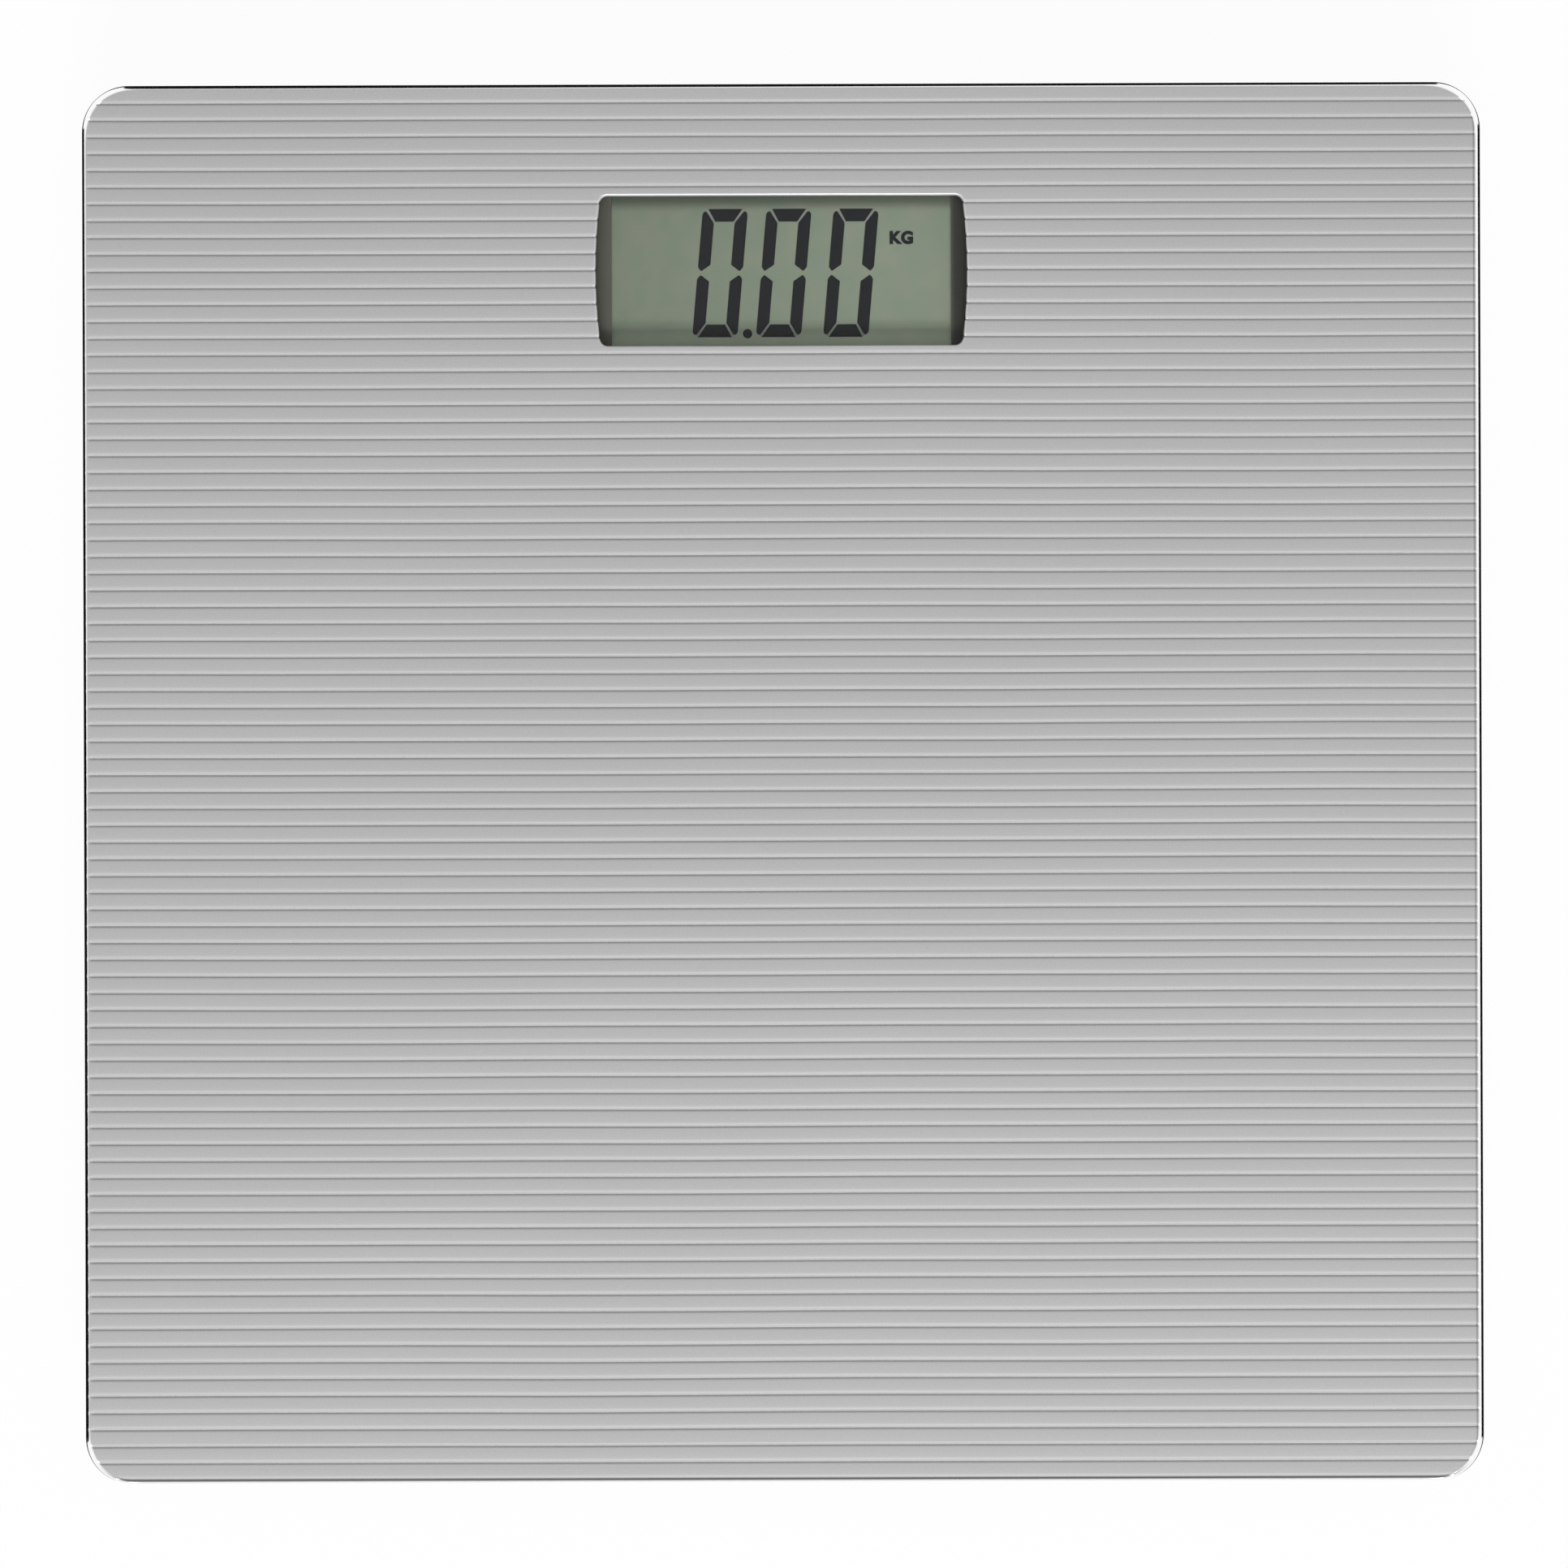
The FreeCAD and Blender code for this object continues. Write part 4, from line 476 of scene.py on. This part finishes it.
depth = reckon(press, "MULTIPLY", reckon(press, "MULTIPLY", section.outputs[0], strength), given["Depth"])
normal = node(press, "GeometryNodeInputNormal").outputs[0]
inward = scaled(press, normal, reckon(press, "MULTIPLY", depth, -1.0))
waves = node(press, "ShaderNodeTexNoise", {"Vector": at, "Scale": 14.0, "Detail": 1.0}).outputs[0]
waver = reckon(press, "MULTIPLY", reckon(press, "SUBTRACT", waves, 0.5), given["Waver"])
room = reckon(press, "SUBTRACT", given["HalfSide"], reckon(press, "ABSOLUTE", split["Y"]))
fade = run(press, room, 0.0, WAVER_FADE, 0.0, 1.0, "SMOOTHSTEP")
slide = node(press, "ShaderNodeCombineXYZ", {"Y": reckon(press, "MULTIPLY", waver, fade)}).outputs[0]
shift = node(press, "ShaderNodeVectorMath", {0: inward, 1: slide}, operation="ADD").outputs[0]
ribbed = node(press, "GeometryNodeSetPosition", {"Geometry": given["Geometry"], "Offset": shift})
close_tree(press, ribbed.outputs[0], given["Finish"])

cover = make_piece("ribbed_cover", cover_blank(), press,
                   {"Pitch": RIB_PITCH, "FirstGroove": FIRST_GROOVE, "Depth": GROOVE_DEPTH,
                    "Waver": RIB_WAVER, "HalfSide": HALF_SIDE, "Finish": cover_paint})
cover.data.shade_smooth()
cover.data.set_sharp_from_angle(angle=SMOOTHEST_TURN)
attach(cover, "scale_body")
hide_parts("platform_cover")


# ---------------------------------------------------------------------------------------------
# Display lens: a clear acrylic pane under the window, held to the underside of the cover by a
# frame of double-sided tape.
# ---------------------------------------------------------------------------------------------
def dress(finish, *names):
    """Puts a finish on CAD parts."""
    for name in names:
        parts[name].data.materials.clear()
        parts[name].data.materials.append(finish)


lens_clear = new_finish("lens_clear", {"Base Color": shade(22, 24, 24), "IOR": 1.49, "Alpha": 0.12})
rub(lens_clear, 60, 0.04, 0.09)
dress(lens_clear, "display_lens")
tape_foam = new_finish("tape_foam", {"Roughness": 0.85})
mottle(tape_foam, 900, shade(40, 40, 42), shade(62, 62, 64))
grain(tape_foam, 2500, 0.02 * MM)
dress(tape_foam, "lens_tape")


# ---------------------------------------------------------------------------------------------
# Liquid-crystal display: a glass cell with a grey-green reflector, clamped by a black moulded
# frame on two rubber contact strips. Its lit segments read 0.00 and the unit.
# ---------------------------------------------------------------------------------------------
PANEL_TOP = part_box("lcd_panel")[1].z
DIGIT_TOP = 123.55 * MM
DIGIT_TALL = 27.6 * MM
DIGIT_WIDE = 9.73 * MM
DIGIT_LEFT = (-16.85 * MM, -3.15 * MM, 11.3 * MM)
DIGIT_LEAN = 0.086
SEGMENT_THICK = 0.03 * MM
POINT_PLACE = (-7.3 * MM, 96.7 * MM)
POINT_RADIUS = 1.0 * MM
UNIT_PLACE = (23.3 * MM, 115.85 * MM)
UNIT_WIDE = 5.1 * MM
UNIT_TALL = 2.9 * MM
# where shade and light are painted on the glass: painted shade in from the rear edge and from left
# to right, painted light in from the front edge
REAR_SHADE_DEEP = 3.6 * MM
SIDE_SHADE = (-38 * MM, 20 * MM)
FRONT_PAINTED_LIGHT = (1 * MM, 5.6 * MM)
# half width of the display frame's painted shade
RAIL_REACH = 40 * MM

lcd_glass = new_finish("lcd_glass", {"Roughness": 0.34, "Specular IOR Level": 0.3})
tree = lcd_glass.node_tree
cells = mottle(lcd_glass, 190, shade(167, 185, 162), shade(180, 189, 167), detail=4, spread=0.2)
along = own_place(tree)
# painted shade on the reflector under the rear edge, where the window's rear wall shades it, and
# towards the left; painted light along the front edge, which pales the shadow of the front wall
rear_edge, front_edge = WINDOW_Y + WINDOW_HALF, WINDOW_Y - WINDOW_HALF
rear_shade = run(tree, along["Y"], rear_edge, rear_edge - REAR_SHADE_DEEP, 0.42, 1.0, "SMOOTHERSTEP")
side_shade = run(tree, along["X"], *SIDE_SHADE, 0.82, 1.0)
painted_front_light = run(tree, along["Y"], front_edge + FRONT_PAINTED_LIGHT[0], front_edge + FRONT_PAINTED_LIGHT[1], 1.75, 1.0,
                 "SMOOTHSTEP")
painted_light_and_shade = reckon(tree, "MULTIPLY", reckon(tree, "MULTIPLY", rear_shade, side_shade), painted_front_light)
tree.links.new(scaled(tree, cells, painted_light_and_shade), tree.nodes["Principled BSDF"].inputs["Base Color"])
grain(lcd_glass, 900, 0.004 * MM)
dress(lcd_glass, "lcd_panel")
bezel_plastic = new_finish("bezel_plastic", {"Specular IOR Level": 0.4})
tree = bezel_plastic.node_tree
# painted shade on the two side rails that show beside the glass: darkest at their outer edges, and
# the right rail darker than the left
across = run(tree, own_place(tree)["X"], -RAIL_REACH, RAIL_REACH, 0.0, 1.0)
painted_rail_shade = node(tree, "ShaderNodeValToRGB", {"Fac": across})
for place, tone in ((0.045, shade(112, 115, 102)), (0.955, shade(96, 99, 88)), (0.967, shade(56, 56, 51))):
    painted_rail_shade.color_ramp.elements.new(place).color = tone
painted_rail_shade.color_ramp.elements[0].color = shade(82, 81, 73)
painted_rail_shade.color_ramp.elements[-1].color = shade(48, 48, 44)
speck = run(tree, noise(bezel_plastic, 700), 0.0, 1.0, 0.9, 1.1)
specked_rail_shade = scaled(tree, painted_rail_shade.outputs["Color"], speck)
tree.links.new(specked_rail_shade, tree.nodes["Principled BSDF"].inputs["Base Color"])
rub(bezel_plastic, 300, 0.5, 0.62)
grain(bezel_plastic, 3500, 0.012 * MM)
dress(bezel_plastic, "lcd_frame")
zebra_rubber = new_finish("zebra_rubber", {"Roughness": 0.7})
mottle(zebra_rubber, 6000, shade(34, 34, 36), shade(150, 146, 140), detail=0,
       stretch=(1, 0.001, 0.001), spread=0.03)
dress(zebra_rubber, "zebra_strip_front", "zebra_strip_rear")


def slab(mesh, outline, bottom, top):
    """Adds a flat prism over an outline that runs anticlockwise."""
    lower = [mesh.verts.new((x, y, bottom)) for x, y in outline]
    upper = [mesh.verts.new((x, y, top)) for x, y in outline]
    mesh.faces.new(upper)
    mesh.faces.new(lower[::-1])
    for k in range(len(outline)):
        n = (k + 1) % len(outline)
        mesh.faces.new((lower[k], lower[n], upper[n], upper[k]))


def segment_outlines():
    """The six lit segments of a zero, x from its left side and depth from its top, in millimetres."""
    side = [(0, 1.35), (0.1, 0.95), (0.33, 0.65), (0.68, 0.5), (0.92, 0.62), (2.64, 3.06), (2.64, 12.0),
            (0.95, 13.25), (0.74, 13.35), (0.55, 13.22), (0.04, 12.55), (0, 12.35)]
    bar = [(1.2, 0), (8.53, 0), (6.85, 2.74), (2.88, 2.74)]
    wide, tall = DIGIT_WIDE / MM, DIGIT_TALL / MM
    upper = [side, [(wide - x, y) for x, y in side[::-1]], bar]
    return upper + [[(x, tall - y) for x, y in outline[::-1]] for outline in upper]


def flat_piece(name, mesh, finish):
    """Makes a piece of the scale's body from a finished bmesh."""
    bmesh.ops.recalc_face_normals(mesh, faces=mesh.faces)
    piece = new_object(name, mesh, finish)
    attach(piece, "scale_body")


def segment_gaps():
    """The paler slanting gaps between a zero's bars and its sides."""
    gap = [(1.08, 0.04), (0.8, 0.46), (2.66, 3.06), (2.86, 2.76)]
    wide, tall = DIGIT_WIDE / MM, DIGIT_TALL / MM
    upper = [gap, [(wide - x, y) for x, y in gap[::-1]]]
    return upper + [[(x, tall - y) for x, y in outline[::-1]] for outline in upper]


def lean(outline, left):
    """Places an outline of a digit on the glass, leaning as it goes down."""
    return [(left + x * MM - y * MM * DIGIT_LEAN, DIGIT_TOP - y * MM) for x, y in outline]


segment_ink = new_finish("segment_ink", {"Roughness": 0.4, "Specular IOR Level": 0.25})
mottle(segment_ink, 1500, shade(27, 28, 31), shade(35, 36, 39))
gap_film = new_finish("gap_film", {"Roughness": 0.4, "Specular IOR Level": 0.25})
mottle(gap_film, 900, shade(164, 172, 168), shade(176, 182, 177))
for place, left in zip(("units", "tenths", "hundredths"), DIGIT_LEFT):
    digit = bmesh.new()
    for outline in segment_outlines():
        slab(digit, lean(outline, left)[::-1], PANEL_TOP, PANEL_TOP + SEGMENT_THICK)
    flat_piece("lcd_digit_" + place, digit, segment_ink)
    gaps = bmesh.new()
    for outline in segment_gaps():
        slab(gaps, lean(outline, left), PANEL_TOP, PANEL_TOP + SEGMENT_THICK / 2)
    flat_piece("lcd_gaps_" + place, gaps, gap_film)

point = bmesh.new()
around = [math.radians(15 * turn) for turn in range(24)]
slab(point, [(POINT_PLACE[0] + POINT_RADIUS * math.cos(a), POINT_PLACE[1] + POINT_RADIUS * math.sin(a))
             for a in around], PANEL_TOP, PANEL_TOP + SEGMENT_THICK)
flat_piece("lcd_decimal_point", point, segment_ink)

letters = bpy.data.curves.new("lcd_unit", "FONT")
letters.body = "KG"
letters.size = 4.1 * MM
letters.offset = 0.25 * MM
letters.extrude = SEGMENT_THICK / 2
letters.space_character = 1.12
flat = bpy.data.objects.new("lcd_unit_curve", letters)
bpy.context.scene.collection.objects.link(flat)
unit = bmesh.new()
unit.from_mesh(bpy.data.meshes.new_from_object(flat.evaluated_get(bpy.context.evaluated_depsgraph_get())))
bpy.data.objects.remove(flat)
bmesh.ops.remove_doubles(unit, verts=unit.verts, dist=0.001 * MM)
least = Vector(min(v.co[k] for v in unit.verts) for k in range(3))
most = Vector(max(v.co[k] for v in unit.verts) for k in range(3))
fit = Matrix.Diagonal((UNIT_WIDE / (most.x - least.x), UNIT_TALL / (most.y - least.y), 1, 1))
stand = Matrix.Translation((*UNIT_PLACE, PANEL_TOP + SEGMENT_THICK / 2))
start = Matrix.Translation((-least.x, -least.y, 0))
bmesh.ops.transform(unit, verts=unit.verts, matrix=stand @ fit @ start)
flat_piece("lcd_unit", unit, segment_ink)


# ---------------------------------------------------------------------------------------------
# Main board: a glass-fibre board under green solder mask, with a resin dot over its bare chip,
# small components and the plugs of the four load cells. Four screws hold it to the frame.
# ---------------------------------------------------------------------------------------------
board_mask = new_finish("board_mask", {"Specular IOR Level": 0.5, "Coat Weight": 0.25,
                                       "Coat Roughness": 0.2})
mottle(board_mask, 90, shade(22, 74, 46), shade(30, 88, 54))
rub(board_mask, 200, 0.28, 0.42)
grain(board_mask, 1400, 0.012 * MM, stretch=(1, 0.2, 1))
dress(board_mask, "main_board")
chip_resin = new_finish("chip_resin", {"Coat Weight": 0.5, "Coat Roughness": 0.12})
mottle(chip_resin, 500, shade(14, 14, 15), shade(26, 26, 28))
rub(chip_resin, 250, 0.2, 0.35)
dress(chip_resin, "chip_coating")
component_body = new_finish("component_body", {"Metallic": 0.0})
mottle(component_body, 1200, shade(60, 52, 44), shade(96, 84, 70))
rub(component_body, 900, 0.35, 0.55)
dress(component_body, "board_components")
header_plastic = new_finish("header_plastic", {"Specular IOR Level": 0.45})
mottle(header_plastic, 600, shade(214, 208, 192), shade(228, 223, 208))
rub(header_plastic, 500, 0.4, 0.52)
grain(header_plastic, 4000, 0.006 * MM)
dress(header_plastic, "cell_headers")

screw_steel = new_finish("screw_steel", {"Metallic": 1.0})
mottle(screw_steel, 700, shade(164, 166, 168), shade(192, 193, 194))
rub(screw_steel, 900, 0.24, 0.42)
grain(screw_steel, 3000, 0.004 * MM)
dress(screw_steel, "board_screws", "retainer_screws", "tray_screws")


# ---------------------------------------------------------------------------------------------
# Solder joints: where the pins of the load-cell plugs come through the board, tin wicks up into
# a small bright cone round each one.
# ---------------------------------------------------------------------------------------------
# the plugs from left to right, and the pins in each
PLUGS = (-12 * MM, -4 * MM, 4 * MM, 12 * MM)
PINS = (-1.25 * MM, 0, 1.25 * MM)
CONE_RADIUS = 0.5 * MM
CONE_TOP = 0.25 * MM
CONE_HEIGHT = 0.45 * MM

board_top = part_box("main_board")[1].z
plug_low, plug_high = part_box("cell_headers")
solder_tin = new_finish("solder_tin", {"Metallic": 1.0})
mottle(solder_tin, 2500, shade(176, 178, 178), shade(206, 207, 206))
rub(solder_tin, 3000, 0.16, 0.34)

solder, given = new_tree("solder_row", Radius="Float", Height="Float", Finish="Material")
cone = node(solder, "GeometryNodeMeshCone",
            {"Vertices": 10, "Side Segments": 2, "Radius Top": CONE_TOP,
             "Radius Bottom": given["Radius"], "Depth": given["Height"]}).outputs[0]
dots = node(solder, "GeometryNodeMeshToPoints", {"Mesh": given["Geometry"]}).outputs[0]
stood = node(solder, "GeometryNodeInstanceOnPoints", {"Points": dots, "Instance": cone}).outputs[0]
close_tree(solder, stood, given["Finish"])

pins = bmesh.new()
for plug in PLUGS:
    for pin in PINS:
        pins.verts.new((plug + pin, (plug_low.y + plug_high.y) / 2, board_top))
joints = make_piece("solder_joints", new_object("pin_places", pins), solder,
                    {"Radius": CONE_RADIUS, "Height": CONE_HEIGHT, "Finish": solder_tin})
joints.data.shade_smooth()
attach(joints, "scale_body")


# ---------------------------------------------------------------------------------------------
# Platform frame: the grid-ribbed moulding that carries the cover, glass-filled and dark.
# ---------------------------------------------------------------------------------------------
frame_plastic = new_finish("frame_plastic", {"Specular IOR Level": 0.4})
mottle(frame_plastic, 350, shade(46, 47, 49), shade(60, 61, 63), stretch=(1, 3, 1))
rub(frame_plastic, 200, 0.5, 0.66)
grain(frame_plastic, 2200, 0.02 * MM)
dress(frame_plastic, "platform_frame")


# ---------------------------------------------------------------------------------------------
# Load cells: zinc-plated spring steel with a resin-coated strain gauge, closed into their seats
# by a moulded retainer, each with its wires to the board.
# ---------------------------------------------------------------------------------------------
CORNERS = ("front_left", "front_right", "rear_left", "rear_right")
cell_steel = new_finish("cell_steel", {"Metallic": 1.0})
mottle(cell_steel, 260, shade(146, 146, 143), shade(166, 166, 163), stretch=(1, 6, 1))
rub(cell_steel, 300, 0.28, 0.44, stretch=(1, 8, 1))
grain(cell_steel, 1800, 0.006 * MM, stretch=(0.2, 3, 1))
gauge_resin = new_finish("gauge_resin", {"Coat Weight": 0.3, "Coat Roughness": 0.2})
mottle(gauge_resin, 800, shade(202, 198, 186), shade(222, 219, 208))
rub(gauge_resin, 700, 0.3, 0.5)
retainer_plastic = new_finish("retainer_plastic", {"Specular IOR Level": 0.4})
mottle(retainer_plastic, 400, shade(52, 53, 55), shade(64, 65, 67))
rub(retainer_plastic, 300, 0.46, 0.6)
grain(retainer_plastic, 2600, 0.015 * MM)
wire_skin = new_finish("wire_skin", {"Specular IOR Level": 0.5})
mottle(wire_skin, 400, shade(196, 40, 34), shade(214, 52, 44))
rub(wire_skin, 500, 0.35, 0.5)
for corner in CORNERS:
    dress(cell_steel, "load_cell_" + corner)
    dress(gauge_resin, "strain_gauge_" + corner)
    dress(retainer_plastic, "cell_retainer_" + corner)
    dress(wire_skin, "cell_wires_" + corner)


# ---------------------------------------------------------------------------------------------
# Feet: hollow moulded pucks that press up on the load cells, each with a rubber disc pressed
# into its face. Dust and scuffs gather on the rubber.
# ---------------------------------------------------------------------------------------------
foot_plastic = new_finish("foot_plastic", {"Specular IOR Level": 0.4})
mottle(foot_plastic, 300, shade(40, 41, 43), shade(52, 53, 55))
rub(foot_plastic, 180, 0.42, 0.58)
grain(foot_plastic, 2400, 0.015 * MM)
pad_rubber = new_finish("pad_rubber", {"Specular IOR Level": 0.3})
mottle(pad_rubber, 140, shade(58, 58, 60), shade(80, 80, 81), detail=6)
rub(pad_rubber, 120, 0.72, 0.9)
grain(pad_rubber, 1600, 0.03 * MM, detail=4)
for corner in CORNERS:
    dress(foot_plastic, "foot_" + corner)
    dress(pad_rubber, "foot_pad_" + corner)


# ---------------------------------------------------------------------------------------------
# Battery bay: a coin cell in a moulded holder between nickel-plated springs, closed by a cap
# that turns a sixth of a circle with a coin in its slot.
# ---------------------------------------------------------------------------------------------
holder_plastic = new_finish("holder_plastic", {"Specular IOR Level": 0.4})
mottle(holder_plastic, 500, shade(30, 30, 32), shade(42, 42, 44))
rub(holder_plastic, 300, 0.42, 0.56)
grain(holder_plastic, 3000, 0.01 * MM)
dress(holder_plastic, "battery_holder")
contact_nickel = new_finish("contact_nickel", {"Metallic": 1.0})
mottle(contact_nickel, 600, shade(196, 190, 178), shade(216, 211, 200), stretch=(4, 1, 1))
rub(contact_nickel, 800, 0.18, 0.34)
dress(contact_nickel, "battery_contact_positive", "battery_contact_negative")
battery_steel = new_finish("battery_steel", {"Metallic": 1.0, "Anisotropic": 0.4})
mottle(battery_steel, 400, shade(188, 188, 188), shade(206, 206, 205), stretch=(8, 1, 1))
rub(battery_steel, 500, 0.2, 0.34, stretch=(8, 1, 1))
dress(battery_steel, "coin_battery")
cap_plastic = new_finish("cap_plastic", {"Specular IOR Level": 0.45})
mottle(cap_plastic, 320, shade(42, 43, 45), shade(54, 55, 57))
rub(cap_plastic, 160, 0.36, 0.52)
grain(cap_plastic, 2600, 0.012 * MM)
dress(cap_plastic, "battery_cap")


# ---------------------------------------------------------------------------------------------
# Unit button: a light-grey push button in a dish of the base, under a small tactile switch.
# ---------------------------------------------------------------------------------------------
button_plastic = new_finish("button_plastic", {"Specular IOR Level": 0.5})
mottle(button_plastic, 420, shade(150, 152, 154), shade(166, 168, 170))
rub(button_plastic, 220, 0.34, 0.5)
grain(button_plastic, 3200, 0.008 * MM)
dress(button_plastic, "unit_button")
switch_body = new_finish("switch_body", {"Specular IOR Level": 0.45})
mottle(switch_body, 900, shade(26, 26, 28), shade(38, 38, 40))
rub(switch_body, 700, 0.34, 0.5)
dress(switch_body, "tact_switch")
switch_plunger = new_finish("switch_plunger", {"Specular IOR Level": 0.45})
mottle(switch_plunger, 900, shade(70, 70, 72), shade(88, 88, 90))
rub(switch_plunger, 700, 0.3, 0.44)
dress(switch_plunger, "tact_plunger")


# ---------------------------------------------------------------------------------------------
# Base tray: the dark underside moulding, spark-eroded to a fine matt, screwed up into the frame.
# ---------------------------------------------------------------------------------------------
tray_plastic = new_finish("tray_plastic", {"Specular IOR Level": 0.4})
mottle(tray_plastic, 110, shade(47, 48, 50), shade(53, 54, 56), detail=5)
rub(tray_plastic, 60, 0.55, 0.62)
grain(tray_plastic, 1900, 0.035 * MM, detail=3)
dress(tray_plastic, "base_tray")


# ---------------------------------------------------------------------------------------------
# Studio: a pale floor that is clear from below, a big soft lamp in front, dark cards beside the
# platform that show only where something mirrors them, and a camera straight above its middle.
# ---------------------------------------------------------------------------------------------
FLOOR_DROP = 0.01 * MM
FLOOR_HALF = 6
FLOOR_GLOW = 0.96
AIR_GLOW = 0.42
CARD_GAP = 2 * MM
CARD_LIFT = 0.8 * MM
CARD_EVEN = 95 * MM
CARD_LOW = 88 * MM
CARD_HIGH = 165 * MM
LAMP_PLACE = (0.15, -2.1, 2.1)
LAMP_SIZE = (1.2, 0.8)
LAMP_WATTS = 62
CAMERA_PLACE = (0.24 * MM, -0.22 * MM, COVER_TOP + 1.3)
CAMERA_ROLL = -0.0031
CAMERA_LENS = 139.2


def seen_plainly(tree):
    """1 for what is seen, mirrored or looked through to, and 0 for light that falls on things."""
    rays = node(tree, "ShaderNodeLightPath").outputs
    mirrored = reckon(tree, "MAXIMUM", rays["Is Camera Ray"], rays["Is Glossy Ray"])
    return reckon(tree, "MAXIMUM", mirrored, rays["Is Transmission Ray"])


paper = bpy.data.materials.new("floor_paper")
paper.use_nodes = True
tree = paper.node_tree
tree.nodes.clear()
matt = node(tree, "ShaderNodeBsdfDiffuse", {"Color": (0.9, 0.9, 0.9, 1)}).outputs[0]
glow = node(tree, "ShaderNodeEmission", {"Color": (1, 1, 1, 1), "Strength": 1.0}).outputs[0]
glowing = reckon(tree, "MULTIPLY", seen_plainly(tree), FLOOR_GLOW)
soft = node(tree, "ShaderNodeMixShader", {0: glowing, 1: matt, 2: glow}).outputs[0]
clear = node(tree, "ShaderNodeBsdfTransparent").outputs[0]
below = node(tree, "ShaderNodeNewGeometry").outputs["Backfacing"]
both = node(tree, "ShaderNodeMixShader", {0: below, 1: soft, 2: clear}).outputs[0]
node(tree, "ShaderNodeOutputMaterial", {"Surface": both})
ground = bmesh.new()
bmesh.ops.create_grid(ground, x_segments=1, y_segments=1, size=FLOOR_HALF,
                      matrix=Matrix.Translation((0, 0, -FLOOR_DROP)))
floor = new_object("floor", ground, paper)

world = bpy.data.worlds.new("studio_air")
bpy.context.scene.world = world
world.use_nodes = True
tree = world.node_tree
tree.nodes.clear()
dim = node(tree, "ShaderNodeBackground", {"Color": (1, 1, 1, 1), "Strength": AIR_GLOW}).outputs[0]
plain = node(tree, "ShaderNodeBackground", {"Color": (1, 1, 1, 1), "Strength": 1.0}).outputs[0]
air = node(tree, "ShaderNodeMixShader", {0: seen_plainly(tree), 1: dim, 2: plain}).outputs[0]
node(tree, "ShaderNodeOutputWorld", {"Surface": air})


def dark_card(name, turn, *heights):
    """A dark card beside the scale that shows only as mirrored, with the heights of its two ends."""
    card = bmesh.new()
    far, reach = 2 * HALF_SIDE, 1.12 * HALF_SIDE
    rows = [[card.verts.new(Matrix.Rotation(turn, 3, "Z") @ Vector((out, along, z)))
             for out, z in ((HALF_SIDE + CARD_GAP, CARD_LIFT), (far, CARD_LIFT), (far, high))]
            for along, high in zip((-reach, reach), heights)]
    for k in (0, 1):
        card.faces.new((rows[0][k], rows[0][k + 1], rows[1][k + 1], rows[1][k]))
    piece = new_object(name, card, card_felt)
    piece.visible_camera = piece.visible_diffuse = False
    piece.visible_shadow = piece.visible_transmission = False


card_felt = new_finish("card_felt", {"Roughness": 0.9, "Specular IOR Level": 0.0})
mottle(card_felt, 40, shade(14, 14, 14), shade(24, 24, 24))
dark_card("card_right", 0, CARD_EVEN, CARD_EVEN)
dark_card("card_rear", math.radians(90), CARD_LOW, CARD_HIGH)
dark_card("card_left", math.radians(180), CARD_LOW, CARD_HIGH)


def soft_lamp(name, place, aim, width, height, power):
    """A rectangular soft lamp pointed at a spot."""
    light = bpy.data.lights.new(name, "AREA")
    light.shape = "RECTANGLE"
    light.size, light.size_y = width, height
    light.energy = power
    lamp = bpy.data.objects.new(name, light)
    bpy.context.scene.collection.objects.link(lamp)
    lamp.location = place
    lamp.rotation_euler = (Vector(aim) - Vector(place)).to_track_quat("-Z", "Y").to_euler()


soft_lamp("front_softbox", LAMP_PLACE, (0, 0, 0), *LAMP_SIZE, LAMP_WATTS)

camera_data = bpy.data.cameras.new("camera")
camera_data.sensor_width = 36
camera_data.lens = CAMERA_LENS
camera = bpy.data.objects.new("camera", camera_data)
bpy.context.scene.collection.objects.link(camera)
camera.location = CAMERA_PLACE
camera.rotation_euler.z = CAMERA_ROLL
bpy.context.scene.camera = camera
bpy.context.scene.view_settings.view_transform = "Standard"
